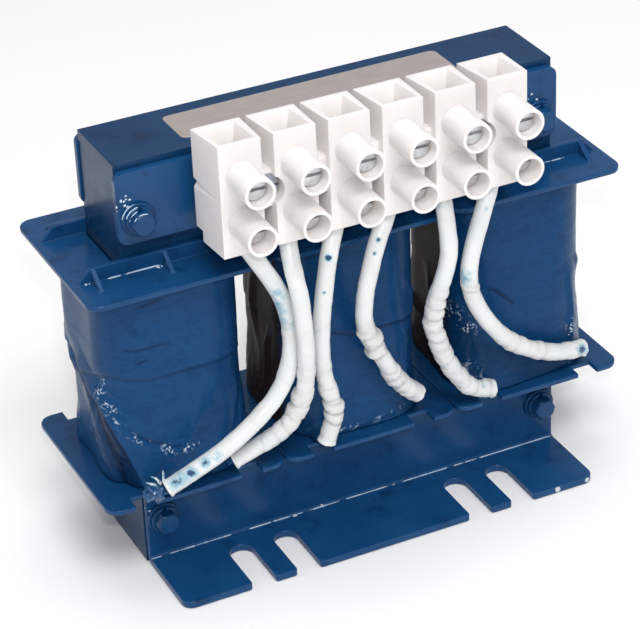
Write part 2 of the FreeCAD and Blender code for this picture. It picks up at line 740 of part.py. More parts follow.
def make_terminal_block():
    """The moulded strip: six poles joined by webs, each with two screw towers and two wire entries."""
    body = new_body("terminal_block")
    first = f"-{END_POLE_X}"
    half_bar = "(bar_side / 2 + bar_play / 2)"
    half_cavity = "(bar_length / 2 + bar_play / 2)"

    web = new_sketch(body, "BlockWeb", "XZ_Plane")
    rectangle(web, first, "-bridge_half_height", END_POLE_X, "bridge_half_height")
    pad(body, web, "bridge_depth")
    plan = new_sketch(body, "PolePlan", "XY_Plane")
    rear, face = "-pole_setback", "-block_depth"
    polygon(plan, [
        (f"{first} - pole_back_width / 2", rear), (f"{first} - pole_front_width / 2", face),
        (f"{first} + pole_front_width / 2", face), (f"{first} + pole_back_width / 2", rear),
    ])
    pole = pad(body, plan, "2 * block_half_height", both_ways=True)
    towers = new_sketch(body, "Towers", "XZ_Plane", "block_depth")
    for level in ("-tower_spacing / 2", "tower_spacing / 2"):
        circle(towers, first, level, "tower_diameter / 2")
    tower = pad(body, towers, "tower_length")
    pattern(body, "Poles", [pole, tower], "pole_pitch", POLES)

    profile = new_sketch(body, "BlockProfile", "YZ_Plane")
    top, bottom = "block_half_height", "-block_half_height"
    polygon(profile, [
        ("0", "block_back_half"), (rear, "block_back_half"), (face, top),
        (face, f"{top} + cut_margin"), ("0", f"{top} + cut_margin"),
    ])
    step, underside = "(-pole_setback - foot_step_depth)", f"({bottom} + foot_step_height)"
    polygon(profile, [
        ("0", underside), (step, underside),
        (step, f"{bottom} - cut_margin"), ("0", f"{bottom} - cut_margin"),
    ])
    pocket(body, profile)
    grooves = new_sketch(body, "SideGrooves", "XZ_Plane")
    for side in ("-", ""):
        rim = f"{side}({END_POLE_X} + pole_back_width / 2)"
        root = f"{side}({END_POLE_X} + pole_front_width / 2)"
        polygon(grooves, [(rim, "-groove_half"), (root, "0"), (rim, "groove_half")])
    pocket(body, grooves)

    bores = new_sketch(body, "TowerBores", "XZ_Plane", "block_depth + tower_length")
    for level in ("-tower_spacing / 2", "tower_spacing / 2"):
        circle(bores, first, level, "tower_bore / 2")
    bore = pocket(body, bores, f"block_depth + tower_length - bar_setback - {half_bar}")
    seat = new_sketch(body, "BarSeat", "XY_Plane", f"-{half_cavity}")
    rectangle(
        seat, f"{first} - {half_bar}", f"-bar_setback - {half_bar}",
        f"{first} + {half_bar}", f"{half_bar} - bar_setback",
    )
    cavity = pocket(body, seat, f"2 * {half_cavity}", reverse=True)
    upper = wire_entry(body, "Upper", "", "-pole_setback - entry_wall", half_bar, half_cavity)
    lower_back = f"{step} - entry_wall"
    lower = wire_entry(body, "Lower", "-", lower_back, half_bar, half_cavity)
    pattern(body, "PoleHollows", [bore, cavity, upper, lower], "pole_pitch", POLES)

    mounts = new_sketch(body, "MountHoles", "XZ_Plane", "block_depth + cut_margin")
    shanks = new_sketch(body, "MountShanks", "XZ_Plane")
    for side in ("-", ""):
        circle(mounts, f"{side}{MOUNT_SCREW_X}", "0", "mount_hole / 2")
        circle(shanks, f"{side}{MOUNT_SCREW_X}", "0", "screw_shank / 2 + screw_play / 2")
    pocket(body, mounts, "block_depth + cut_margin - mount_floor")
    pocket(body, shanks)
    place(body, "0", f"-{PLATE_FACE}", BLOCK_Z)
    return body


def wire_entry(body, name, sign, back, half_bar, half_cavity):
    """A square funnel from the end of the first pole to its clamp bar."""
    centre = f"-{END_POLE_X}"
    mouth = new_sketch(body, f"{name}EntryMouth", "XY_Plane", f"{sign}block_half_height")
    rectangle(
        mouth, f"{centre} - entry_width / 2", "entry_wall - block_depth",
        f"{centre} + entry_width / 2", back,
    )
    throat = new_sketch(body, f"{name}EntryThroat", "XY_Plane", f"{sign}{half_cavity}")
    rectangle(
        throat, f"{centre} - {half_bar}", f"-bar_setback - {half_bar}",
        f"{centre} + {half_bar}", f"{half_bar} - bar_setback",
    )
    feature = body.newObject("PartDesign::SubtractiveLoft", f"{name}Entry")
    feature.Profile = mouth
    feature.Sections = [(throat, [""])]
    feature.Ruled = True
    before = body.Shape.Volume
    body.Tip = feature
    document.recompute()
    if not body.Shape.Volume < before - 0.01:
        raise ValueError(f"{feature.Name} cuts nothing")
    return feature


def make_terminal_bar(number):
    """The metal clamp bar inside one pole, bored for the wire and for its two screws."""
    x = f"({number} * pole_pitch - {END_POLE_X})"
    y = f"(-{PLATE_FACE} - bar_setback)"
    low = f"({BLOCK_Z} - bar_length / 2)"
    bar = document.addObject("Part::Box", f"bar_{number}")
    bind(bar, Length="bar_side", Width="bar_side", Height="bar_length")
    place(bar, f"{x} - bar_side / 2", f"{y} - bar_side / 2", low)
    tools = [cylinder(f"wire_bore_{number}", "bar_bore", "bar_length", x, y, low, None)]
    back = f"({y} + bar_bore / 2)"
    for name, level in (("lower", "-"), ("upper", "+")):
        z = f"{BLOCK_Z} {level} tower_spacing / 2"
        bore = f"{name}_screw_bore_{number}"
        tools.append(cylinder(bore, "screw_shank + screw_play", "bar_side", x, back, z, FORWARD))
    holes = document.addObject("Part::MultiFuse", f"bar_holes_{number}")
    holes.Shapes = tools
    result = cut(f"terminal_bar_{number + 1}", bar, holes)
    result.Label = f"terminal_bar_{number + 1}"
    return result


def make_screw(name, x, y, z, head, head_length, shank_length):
    """A slotted screw whose head faces forward: y is the outer face of its head."""
    cap = cylinder(f"{name}_head", head, head_length, x, y, z, REARWARD)
    shank = cylinder(f"{name}_shank", "screw_shank", f"{head_length} + {shank_length}", x, y, z, REARWARD)
    blank = document.addObject("Part::MultiFuse", f"{name}_blank")
    blank.Shapes = [cap, shank]
    slot = document.addObject("Part::Box", f"{name}_slot")
    bind(slot, Length=head, Width="screw_slot_depth + cut_margin", Height="screw_slot")
    place(slot, f"{x} - {head} / 2", f"{y} - cut_margin", f"{z} - screw_slot / 2")
    return cut(name, blank, slot)


def make_block_screws():
    """Twelve clamp screws in two rows and the two screws that hold the block to the front plate."""
    rows = []
    for row, sign, recess in (("upper", "+", "upper_recess"), ("lower", "-", "lower_recess")):
        screws = []
        for number in range(POLES):
            x = f"({number} * pole_pitch - {END_POLE_X})"
            y = f"({recess} - {PLATE_FACE} - block_depth - tower_length)"
            z = f"({BLOCK_Z} {sign} tower_spacing / 2)"
            name = f"clamp_screw_{row}_{number + 1}"
            screws.append(make_screw(name, x, y, z, "screw_head", "screw_head_length", "screw_shank_length"))
        rows.append(group(f"clamp_screws_{row}", screws))
    mounting = []
    for name, side in (("left", "-"), ("right", "")):
        y = f"(-{PLATE_FACE} - mount_floor - mount_screw_height)"
        length = "(mount_floor + plate_thickness)"
        sizes = ("mount_screw_head", "mount_screw_height", length)
        mounting.append(make_screw(f"mount_screw_{name}", f"{side}{MOUNT_SCREW_X}", y, BLOCK_Z, *sizes))
    return rows + [group("block_mounting_screws", mounting)]


# Leads.


def rounded_path(points):
    """Straight runs joined by tangent arcs; returns the wire and the arcs' radii."""
    edges, radii = [], []
    start = points[0]
    for before, corner, after in zip(points, points[1:], points[2:]):
        back, ahead = before - corner, after - corner
        half_turn = (math.pi - back.getAngle(ahead)) / 2
        trim = BEND_SHARE * min(back.Length, ahead.Length)
        radii.append(trim / math.tan(half_turn))
        enter = corner + back.normalize() * trim
        leave = corner + ahead.normalize() * trim
        bisector = (enter + leave - corner * 2).normalize()
        distance = radii[-1] / math.cos(half_turn)
        middle = corner + bisector * (distance - radii[-1])
        edges.append(Part.LineSegment(start, enter).toShape())
        edges.append(Part.Arc(enter, middle, leave).toShape())
        start = leave
    edges.append(Part.LineSegment(start, points[-1]).toShape())
    return Part.Wire(edges), radii


def make_lead(label, route):
    """A sleeved lead as a round tube along its route."""
    points = [Vector(*point) for point in route]
    path, radii = rounded_path(points)
    radius = value("lead_diameter") / 2
    section = Part.Circle(points[0], points[1] - points[0], radius).toShape()
    tube = path.makePipe(Part.Face(Part.Wire([section])))
    expected = math.pi * radius ** 2 * path.Length
    if abs(tube.Volume / expected - 1) > 0.01:
        raise ValueError(f"{label} has volume {tube.Volume:.1f} instead of {expected:.1f}")
    lead = document.addObject("Part::Feature", label)
    lead.Label = label
    lead.Shape = tube
    lead.Placement = Placement()
    shown = ", ".join(f"{number:.0f}" for number in radii)
    print(f"{label}: length {path.Length:.1f} mm, bend radii {shown} mm")
    return lead


def make_reactor():
    """Every sub-part of the reactor."""
    parts = [make_e_stack(), make_top_yoke()]
    for name, side in COILS.items():
        parts.append(make_gap_spacer(name, side))
        parts.append(make_bobbin(name, side))
        parts.append(make_winding(name, side))
        parts.append(make_wrap(name, side))
    parts.append(make_foot_bracket("front_foot_bracket", None))
    parts.append(make_foot_bracket("rear_foot_bracket", HALF_TURN))
    parts.append(make_clamp_plate("front_clamp_plate", None, tapped=True))
    parts.append(make_clamp_plate("rear_clamp_plate", HALF_TURN, tapped=False))
    parts += make_fasteners()
    parts.append(make_terminal_block())
    parts += [make_terminal_bar(number) for number in range(POLES)]
    parts += make_block_screws()
    parts += [make_lead(label, route) for label, route in LEAD_ROUTES.items()]
    return parts


def check(parts):
    """Stop if any object failed or any sub-part has no sound shape."""
    for item in document.Objects:
        if {"Invalid", "Error"} & set(item.State):
            raise ValueError(f"{item.Name} failed: {item.State}")
    for item in parts:
        if item.Shape.isNull() or not item.Shape.isValid():
            raise ValueError(f"{item.Label} has no sound shape")


sub_parts = make_reactor()
document.recompute()
check(sub_parts)
os.makedirs("parts", exist_ok=True)
for sub_part in sub_parts:
    sub_part.Shape.exportStep(f"parts/{sub_part.Label}.step")
print(f"{len(sub_parts)} sub-parts written")
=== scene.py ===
import math
import random

import bmesh
import bpy
import numpy as np
from mathutils import Matrix, Vector, noise


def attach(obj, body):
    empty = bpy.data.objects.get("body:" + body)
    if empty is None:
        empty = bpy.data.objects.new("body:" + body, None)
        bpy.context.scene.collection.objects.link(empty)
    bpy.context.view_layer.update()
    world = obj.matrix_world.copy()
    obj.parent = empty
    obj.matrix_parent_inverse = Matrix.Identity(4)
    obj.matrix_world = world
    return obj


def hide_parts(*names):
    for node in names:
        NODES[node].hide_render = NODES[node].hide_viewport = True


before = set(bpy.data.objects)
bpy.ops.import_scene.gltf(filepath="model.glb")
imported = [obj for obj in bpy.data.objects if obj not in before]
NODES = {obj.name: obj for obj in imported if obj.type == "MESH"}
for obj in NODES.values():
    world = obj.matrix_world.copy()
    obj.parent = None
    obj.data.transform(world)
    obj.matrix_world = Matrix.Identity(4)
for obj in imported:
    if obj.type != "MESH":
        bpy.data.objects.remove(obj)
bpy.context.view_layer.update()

MM = 0.001
COIL_PITCH = 50.8
COILS = {"left": -COIL_PITCH, "centre": 0.0, "right": COIL_PITCH}


# Pieces.


def add_object(name, data):
    piece = bpy.data.objects.new(name, data)
    bpy.context.scene.collection.objects.link(piece)
    return piece


def add_mesh(name, vertices, faces, smooth=True):
    """A mesh object from vertices in millimetres."""
    mesh = bpy.data.meshes.new(name)
    mesh.from_pydata([(x * MM, y * MM, z * MM) for x, y, z in vertices], [], faces)
    mesh.update()
    bm = bmesh.new()
    bm.from_mesh(mesh)
    bmesh.ops.recalc_face_normals(bm, faces=bm.faces)
    bm.to_mesh(mesh)
    bm.free()
    mesh.polygons.foreach_set("use_smooth", [smooth] * len(mesh.polygons))
    return add_object(name, mesh)


def dress(piece, material, slot, *replaced, edge=None):
    """Give a piece its material, its place in the frame and the nodes that it stands for."""
    piece.data.materials.clear()
    piece.data.materials.append(material)
    if edge:
        piece.data.materials.append(edge)
    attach(piece, "root")
    if replaced:
        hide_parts(*replaced)
    return piece


def ring_faces(low, high, sides):
    """Faces between two closed rings of vertices, which start at these numbers."""
    following = [(step + 1) % sides for step in range(sides)]
    return [(low + step, low + after, high + after, high + step) for step, after in enumerate(following)]


def tube_faces(rings, sides):
    """Faces between rings of vertices that follow each other."""
    starts = [ring * sides for ring in range(rings)]
    return [face for low, high in zip(starts, starts[1:]) for face in ring_faces(low, high, sides)]


def end_faces(rings, sides):
    """The faces over a tube's last ring and under its first."""
    last = (rings - 1) * sides
    return [tuple(range(last, last + sides)), tuple(reversed(range(sides)))]


def join_meshes(parts):
    vertices, faces = [], []
    for more_vertices, more_faces in parts:
        start = len(vertices)
        vertices += more_vertices
        faces += [tuple(start + corner for corner in face) for face in more_faces]
    return vertices, faces


def smoothstep(low, high, number):
    share = np.clip((number - low) / (high - low), 0.0, 1.0)
    return share * share * (3.0 - 2.0 * share)


def bell(gap, width):
    """1 on a line, and less with the distance from it on both sides."""
    return np.exp(-((gap / width) ** 2))


# Edges sharper than the first angle are softened, and faces flatter than the second are joined before that.
SHARP_ANGLE = math.radians(28)
FLAT_ANGLE = math.radians(0.5)
WELD_DISTANCE = 0.002
BEVEL_PROFILE = 0.6


def rounded_copy(node, width, material, slot, segments=2, edge=None, shape=None):
    """A copy of a node with softened edges; these may have a material of their own, a painted highlight."""
    mesh = NODES[node].data.copy()
    if shape:
        shape(mesh)
    mesh.name = f"{node}_finished"
    bm = bmesh.new()
    bm.from_mesh(mesh)
    bmesh.ops.remove_doubles(bm, verts=bm.verts, dist=WELD_DISTANCE * MM)
    bmesh.ops.dissolve_limit(bm, angle_limit=FLAT_ANGLE, verts=bm.verts, edges=bm.edges)
    sharp = [side for side in bm.edges if side.is_manifold and side.calc_face_angle(0.0) > SHARP_ANGLE]
    bmesh.ops.bevel(
        bm, geom=sharp, offset=width * MM, offset_type="OFFSET", segments=segments, profile=BEVEL_PROFILE,
        affect="EDGES", clamp_overlap=True, material=1 if edge else -1,
    )
    for face in bm.faces:
        face.smooth = True
    bmesh.ops.triangulate(bm, faces=[face for face in bm.faces if len(face.verts) > 4])
    bm.to_mesh(mesh)
    bm.free()
    piece = add_object(f"{node}_finished", mesh)
    weighted = piece.modifiers.new("Normals", "WEIGHTED_NORMAL")
    weighted.keep_sharp = True
    weighted.weight = 100
    dress(piece, material, slot, node, edge=edge)


# Materials.


class Shading:
    """A material's node tree with short calls for its usual nodes."""

    def __init__(self, name):
        self.material = bpy.data.materials.new(name)
        self.material.use_nodes = True
        self.nodes = self.material.node_tree.nodes
        self.links = self.material.node_tree.links
        self.shader = self.nodes["Principled BSDF"]
        self.place = self.nodes.new("ShaderNodeTexCoord").outputs["Object"]

    def add(self, kind, inputs=None, **settings):
        node = self.nodes.new(f"ShaderNode{kind}")
        for name, setting in settings.items():
            setattr(node, name, setting)
        for name, source in (inputs or {}).items():
            self.feed(node.inputs[name], source)
        return node

    def feed(self, socket, source):
        if isinstance(source, bpy.types.NodeSocket):
            self.links.new(source, socket)
        else:
            socket.default_value = source

    def set(self, **values):
        """Set the shader's sockets; underscores stand for spaces."""
        for name, source in values.items():
            self.feed(self.shader.inputs[name.replace("_", " ")], source)

    def stretch(self, factors):
        """The place on the piece, with each axis times its factor."""
        return self.add("VectorMath", {0: self.place, 1: factors}, operation="MULTIPLY").outputs[0]

    def noise(self, scale, detail, roughness=0.5, place=None, distortion=0.0):
        inputs = {
            "Vector": place or self.place, "Scale": scale, "Detail": detail, "Roughness": roughness,
            "Distortion": distortion,
        }
        return self.add("TexNoise", inputs).outputs["Fac"]

    def ramp(self, factor, low, high, start=0.0, end=1.0):
        """Map a factor between two limits to a new range."""
        inputs = {"Value": factor, "From Min": low, "From Max": high, "To Min": start, "To Max": end}
        return self.add("MapRange", inputs, clamp=True).outputs["Result"]

    def math(self, operation, first, second):
        return self.add("Math", {0: first, 1: second}, operation=operation).outputs[0]

    def mix(self, factor, first, second):
        node = self.add("Mix", data_type="RGBA")
        self.feed(node.inputs["Factor"], factor)
        self.feed(node.inputs[6], first)
        self.feed(node.inputs[7], second)
        return node.outputs[2]

    def bump(self, height, distance, strength, before=None):
        inputs = {"Height": height, "Distance": distance, "Strength": strength}
        if before is not None:
            inputs["Normal"] = before
        return self.add("Bump", inputs).outputs["Normal"]

    def painted(self, name):
        """A value stored on the mesh's points."""
        return self.add("Attribute", attribute_name=name, attribute_type="GEOMETRY").outputs["Fac"]


NAVY = (0.0045, 0.052, 0.160, 1)
NAVY_LIGHT = (0.009, 0.068, 0.192, 1)
NAVY_DARK = (0.002, 0.026, 0.088, 1)
STEEL = (0.62, 0.63, 0.65, 1)
# The wave scale that gives one line about each millimetre across the laminations.
SHEET_SCALE = 318


def tinted(colour, share):
    return tuple(channel * share for channel in colour[:3]) + (1,)


def varnish(name, tint=1.0, gloss=0.2, ior=1.5, laminated=False, runs=False, chips=()):
    """Blue dipping varnish over a metal or moulded piece."""
    s = Shading(name)
    cloud = s.noise(55, 4, 0.55)
    fine = s.noise(420, 3, 0.6)
    dark, plain, light = [tinted(colour, tint) for colour in (NAVY_DARK, NAVY, NAVY_LIGHT)]
    base = s.mix(s.ramp(cloud, 0.3, 0.7), plain, light)
    base = s.mix(s.ramp(s.noise(150, 5, 0.65), 0.55, 0.75), base, dark)
    roughness = s.ramp(s.noise(90, 4, 0.6), 0.3, 0.7, 0.2, 0.36)
    normal = s.bump(fine, 0.00004, 0.3)
    normal = s.bump(s.noise(70, 2, 0.5), 0.0003, 0.35, normal)
    if laminated:
        inputs = {"Vector": s.place, "Scale": SHEET_SCALE, "Distortion": 0.25, "Detail": 2}
        sheets = s.add("TexWave", inputs, bands_direction="Y").outputs["Fac"]
        normal = s.bump(sheets, 0.00004, 0.12, normal)
        uneven = s.noise(30, 3, 0.6, s.stretch((1, 60, 1)))
        base = s.mix(s.ramp(uneven, 0.45, 0.75, 0.0, 0.3), base, dark)
    if runs:
        drip = s.noise(120, 3, 0.5, s.stretch((1, 1, 0.18)))
        normal = s.bump(drip, 0.0005, 0.4, normal)
    for centre, size in chips:
        distance = s.add("VectorMath", {0: s.place, 1: Vector(centre) * MM}, operation="DISTANCE")
        ragged = s.math("ADD", distance.outputs["Value"], s.ramp(s.noise(900, 3), 0, 1, -0.0006, 0.0006))
        bare = s.ramp(ragged, size * MM * 0.85, size * MM, 1.0, 0.0)
        base = s.mix(bare, base, STEEL)
    s.set(
        Base_Color=base, Roughness=roughness, Normal=normal, Specular_IOR_Level=gloss, IOR=ior,
        Coat_Weight=0.1, Coat_Roughness=0.05,
    )
    return s.material


# Brown film where the blue varnish is thin, darkened further as painted shade for the flanks in the core's
# windows.
FILM_BROWN_SHADED = (0.030, 0.021, 0.019, 1)
# Painted glint: a light blue that stands in for sparkles of light on glossy varnish.
PAINTED_GLINT = (0.52, 0.64, 0.77, 1)


def painted_glint_varnish(name, dark_share):
    """Thick beads of glossy varnish, with light blue glints painted into their colour."""
    s = Shading(name)
    base = s.mix(s.ramp(s.noise(260, 3, 0.6), dark_share, dark_share + 0.08), NAVY_LIGHT, PAINTED_GLINT)
    s.set(
        Base_Color=base, Roughness=s.ramp(s.noise(500, 2), 0.3, 0.7, 0.08, 0.2),
        Normal=s.bump(s.noise(800, 2), 0.0001, 0.4), Specular_IOR_Level=0.6,
        Coat_Weight=0.4, Coat_Roughness=0.03,
    )
    return s.material


def film(name):
    """Blue varnish over wound polyester film, with painted shade and painted glints."""
    s = Shading(name)
    streak = s.noise(40, 4, 0.6, s.stretch((1, 1, 3.5)))
    light, dark = [tinted(colour, 0.97) for colour in (NAVY_LIGHT, NAVY)]
    base = s.mix(s.ramp(streak, 0.3, 0.75), dark, light)
    base = s.mix(s.ramp(s.noise(110, 5, 0.7), 0.58, 0.78), base, NAVY_DARK)
    mottling = s.noise(520, 4, 0.7, s.stretch((1, 1, 1.8)))
    base = s.mix(s.ramp(mottling, 0.38, 0.64, 0.0, 0.38), base, NAVY_DARK)
    ragged = s.ramp(s.noise(130, 4, 0.65), 0.2, 0.8, -0.35, 0.35)
    # Brown where the film is bare of blue, darkened as painted shade.
    base = s.mix(s.ramp(s.math("ADD", s.painted("bare"), ragged), 0.3, 0.8), base, FILM_BROWN_SHADED)
    # Painted shade: deep blue in creases, along the film's lower edge, behind folds, on a skirt and on the
    # turned-in ends.
    base = s.mix(s.painted("crease_shade"), base, (0.001, 0.012, 0.045, 1))
    wet_and_glints = s.painted("wet_and_glints")
    # Painted glints: light blue specks in clumps along the glossy lines, standing in for sparkles of light.
    clumps = s.ramp(s.noise(420, 2, 0.5), 0.46, 0.54)
    specks = s.math("MULTIPLY", s.math("MULTIPLY", wet_and_glints, clumps), s.ramp(s.noise(1200, 2, 0.5), 0.52, 0.6))
    base = s.mix(specks, base, PAINTED_GLINT)
    rough = s.ramp(s.noise(70, 4, 0.6), 0.3, 0.7, 0.24, 0.42)
    roughness = s.math("MULTIPLY", rough, s.ramp(wet_and_glints, 0.0, 1.0, 1.0, 0.4))
    roughness = s.math("ADD", roughness, s.ramp(s.painted("bare"), 0.0, 1.0, 0.0, 0.22))
    crinkle = s.noise(260, 4, 0.6, s.stretch((1, 1, 1.6)), 1.2)
    normal = s.bump(crinkle, 0.00016, 0.35)
    beads = s.math("MULTIPLY", s.noise(900, 2, 0.5), wet_and_glints)
    normal = s.bump(beads, 0.0008, 0.7, normal)
    s.set(
        Base_Color=base, Roughness=roughness, Normal=normal, Specular_IOR_Level=0.12, IOR=1.4,
        Coat_Weight=s.ramp(s.painted("bare"), 0.0, 1.0, 0.08, 0.02), Coat_Roughness=0.05,
    )
    return s.material


def white_plastic(name):
    s = Shading(name)
    base = s.mix(s.ramp(s.noise(60, 4, 0.6), 0.35, 0.7), (0.80, 0.765, 0.755, 1), (0.85, 0.825, 0.81, 1))
    grime = s.ramp(s.noise(240, 5, 0.7), 0.68, 0.8, 0.0, 0.35)
    base = s.mix(grime, base, (0.55, 0.58, 0.66, 1))
    normal = s.bump(s.noise(900, 2), 0.00003, 0.25)
    s.set(
        Base_Color=base, Roughness=s.ramp(s.noise(130, 3), 0.3, 0.7, 0.3, 0.42), Normal=normal,
        Specular_IOR_Level=0.45, Subsurface_Weight=0.35, Subsurface_Scale=0.003,
        Subsurface_Radius=(1.0, 0.8, 0.7),
    )
    return s.material


def sleeve(name):
    """Off-white varnished sleeving with blue smears."""
    s = Shading(name)
    base = s.mix(s.ramp(s.noise(180, 4, 0.6), 0.3, 0.7), (0.72, 0.74, 0.73, 1), (0.82, 0.84, 0.84, 1))
    wash = s.ramp(s.noise(90, 3, 0.6), 0.5, 0.72, 0.0, 0.35)
    base = s.mix(wash, base, (0.50, 0.62, 0.72, 1))
    ragged = s.math("ADD", s.painted("stain"), s.ramp(s.noise(420, 4, 0.7), 0.25, 0.75, -0.45, 0.45))
    base = s.mix(s.ramp(ragged, 0.25, 0.8, 0.0, 0.9), base, (0.24, 0.46, 0.58, 1))
    base = s.mix(s.ramp(ragged, 0.86, 1.02), base, (0.015, 0.06, 0.15, 1))
    specks = s.ramp(s.noise(1300, 2), 0.76, 0.8)
    base = s.mix(s.math("MULTIPLY", specks, s.ramp(s.noise(60, 2), 0.5, 0.6)), base, (0.02, 0.05, 0.14, 1))
    # Painted shade: brownish grey at the feet of the lumps and over the bunched stretches.
    base = s.mix(s.painted("groove_shade"), base, (0.40, 0.37, 0.34, 1))
    # Painted shade: dark grey inside the sleeve's open end.
    base = s.mix(s.painted("inside"), base, (0.16, 0.17, 0.20, 1))
    normal = s.bump(s.noise(600, 3), 0.00008, 0.4)
    s.set(
        Base_Color=base, Roughness=s.ramp(s.noise(200, 3), 0.3, 0.7, 0.28, 0.42), Normal=normal,
        Specular_IOR_Level=0.45, Coat_Weight=0.2, Coat_Roughness=0.1,
    )
    return s.material


def foil(name):
    """A bare rating plate: silver-beige film with a faint grain."""
    s = Shading(name)
    grain = s.noise(160, 3, 0.6, s.stretch((1, 14, 1)))
    base = s.mix(s.ramp(grain, 0.3, 0.7), (0.37, 0.325, 0.315, 1), (0.45, 0.395, 0.385, 1))
    smear = s.ramp(s.noise(90, 5, 0.7), 0.62, 0.78, 0.0, 0.6)
    base = s.mix(smear, base, (0.28, 0.27, 0.30, 1))
    s.set(
        Base_Color=base, Metallic=0.35, Roughness=s.ramp(s.noise(300, 3), 0.3, 0.7, 0.34, 0.5),
        Normal=s.bump(s.noise(500, 3), 0.00003, 0.4),
    )
    return s.material


def plain_metal(name, colour, roughness, metal=0.9):
    s = Shading(name)
    base = s.mix(s.ramp(s.noise(400, 4, 0.6), 0.3, 0.8), colour + (1,), tinted(colour, 0.6))
    s.set(
        Base_Color=base, Metallic=metal,
        Roughness=s.ramp(s.noise(400, 3), 0.3, 0.7, roughness, roughness + 0.2),
        Normal=s.bump(s.noise(800, 3), 0.00004, 0.4),
    )
    return s.material


def board(name):
    """Pressboard soaked in the blue varnish."""
    s = Shading(name)
    fibre = s.noise(500, 4, 0.7, s.stretch((1, 1, 6)))
    base = s.mix(s.ramp(fibre, 0.3, 0.7), NAVY_DARK, (0.010, 0.045, 0.110, 1))
    s.set(Base_Color=base, Roughness=0.5, Normal=s.bump(fibre, 0.00005, 0.5))
    return s.material


# Chips down to bare steel: centre and radius.
CHIPS = [
    ((50.0, -37.6, 1.0), 0.9), ((59.3, -37.0, 1.0), 0.8), ((-19.4, -14.6, 2.1), 0.55),
    ((-10.7, -14.4, 2.1), 0.5),
]
core_varnish = varnish("CoreVarnish", tint=0.6, gloss=0.25, ior=1.33, laminated=True)
bracket_varnish = varnish("BracketVarnish", chips=CHIPS)
bobbin_varnish = varnish("BobbinVarnish", tint=0.93, runs=True)
bolt_varnish = varnish("BoltVarnish", tint=0.9, runs=True)
# Painted highlight: a much lighter, glossier varnish on the softened edges, standing in for the light that
# they catch.
edge_highlight_varnish = varnish("EdgeHighlightVarnish", tint=2.6, gloss=0.7)
# Beads, lines of varnish and the lump at the first lead's end: varnish with painted glints.
bead_varnish_glints = painted_glint_varnish("BeadVarnishGlints", 0.4)
blob_varnish_glints = painted_glint_varnish("BlobVarnishGlints", 0.66)
film_varnish = film("FilmVarnish")
block_plastic = white_plastic("WhitePlastic")
lead_sleeve = sleeve("LeadSleeve")
plate_foil = foil("PlateFoil")
screw_zinc = plain_metal("ScrewZinc", (0.74, 0.76, 0.78), 0.25)
frosted_zinc = plain_metal("FrostedZinc", (0.78, 0.77, 0.78), 0.45, metal=0.25)
mount_zinc = plain_metal("MountZinc", (0.46, 0.49, 0.58), 0.3, metal=0.45)
bar_nickel = plain_metal("BarNickel", (0.60, 0.56, 0.45), 0.3)
copper = plain_metal("Copper", (0.075, 0.040, 0.030), 0.4, metal=0.4)
spacer_board = board("SpacerBoard")


# Rigid pieces.

for node in ("core_e_stack", "core_top_yoke"):
    rounded_copy(node, 0.35, core_varnish, "core", edge=edge_highlight_varnish)
for node in ("front_foot_bracket", "rear_foot_bracket", "front_clamp_plate", "rear_clamp_plate"):
    rounded_copy(node, 0.35, bracket_varnish, "bracket", edge=edge_highlight_varnish)
for coil in COILS:
    rounded_copy(f"bobbin_{coil}", 0.3, bobbin_varnish, "bobbin", edge=edge_highlight_varnish)
rounded_copy("terminal_block", 0.3, block_plastic, "block")

# A bolt's vertices further from its axis than this belong to its head, which is drawn in to this share.
SHANK_REACH = 2.2
HEAD_SHARE = 0.84


def slim_head(mesh):
    """Draw a bolt's head in about the bolt's axis, as the varnish rounds it."""
    x, z = [(min(values) + max(values)) / 2 for values in zip(*[(v.co.x, v.co.z) for v in mesh.vertices])]
    for vertex in mesh.vertices:
        across = Vector((vertex.co.x - x, vertex.co.z - z))
        if across.length > SHANK_REACH * MM:
            vertex.co.x, vertex.co.z = x + across.x * HEAD_SHARE, z + across.y * HEAD_SHARE


for corner in ("lower_left", "lower_right", "upper_left", "upper_right"):
    rounded_copy(f"core_bolt_{corner}", 0.6, bolt_varnish, "fastener", segments=3, shape=slim_head)
for node in ("front_flat_washers", "rear_flat_washers", "core_nuts", "front_lock_washers"):
    rounded_copy(node, 0.3, bolt_varnish, "fastener")


def repaint(node, material):
    NODES[node].data.materials.clear()
    NODES[node].data.materials.append(material)


for coil in COILS:
    repaint(f"gap_spacer_{coil}", spacer_board)
    repaint(f"winding_{coil}", copper)
for number in range(1, 7):
    repaint(f"terminal_bar_{number}", bar_nickel)
repaint("clamp_screws_upper", screw_zinc)
repaint("clamp_screws_lower", frosted_zinc)
repaint("block_mounting_screws", mount_zinc)


# Coil wraps.

WRAP_BOTTOM, WRAP_TOP = 28.6, 87.3
WRAP_HALF_X, WRAP_HALF_Y, WRAP_CORNER = 19.5, 20.2, 12.5
WRAP_STEPS, WRAP_ROWS = 340, 136
# The film stays outside the winding, which lies 0.9 mm below it.
WRAP_DEEPEST = -0.8
# At both ends the film turns in over the winding, by this much, and carries painted shade there.
WRAP_TURN_IN = 1.2
WRAP_END_SHADE = 0.6
# Angles round a coil run from the right side, by the rear, and are turned to lengths with this mean radius.
WRAP_GIRTH = 20.5

# For each coil: the lower edge of its outer film as (angle, height), how far the film stands out there and
# how much painted shade lies along its edge.
BANDS = {
    "left": (
        [(-175, 57.6), (-141, 61.4), (-104, 61.1), (-67, 61.2), (-45, 60), (0, 54), (90, 62)], 0.5, 0.42,
    ),
    "centre": (
        [(-113, 59.6), (-95, 57.9), (-62, 57.6), (-46, 56), (0, 55), (90, 60), (180, 59)], 0.45, 0.6,
    ),
    "right": ([(-90, 62), (0, 60), (90, 57), (180, 60)], 0.12, 0),
}
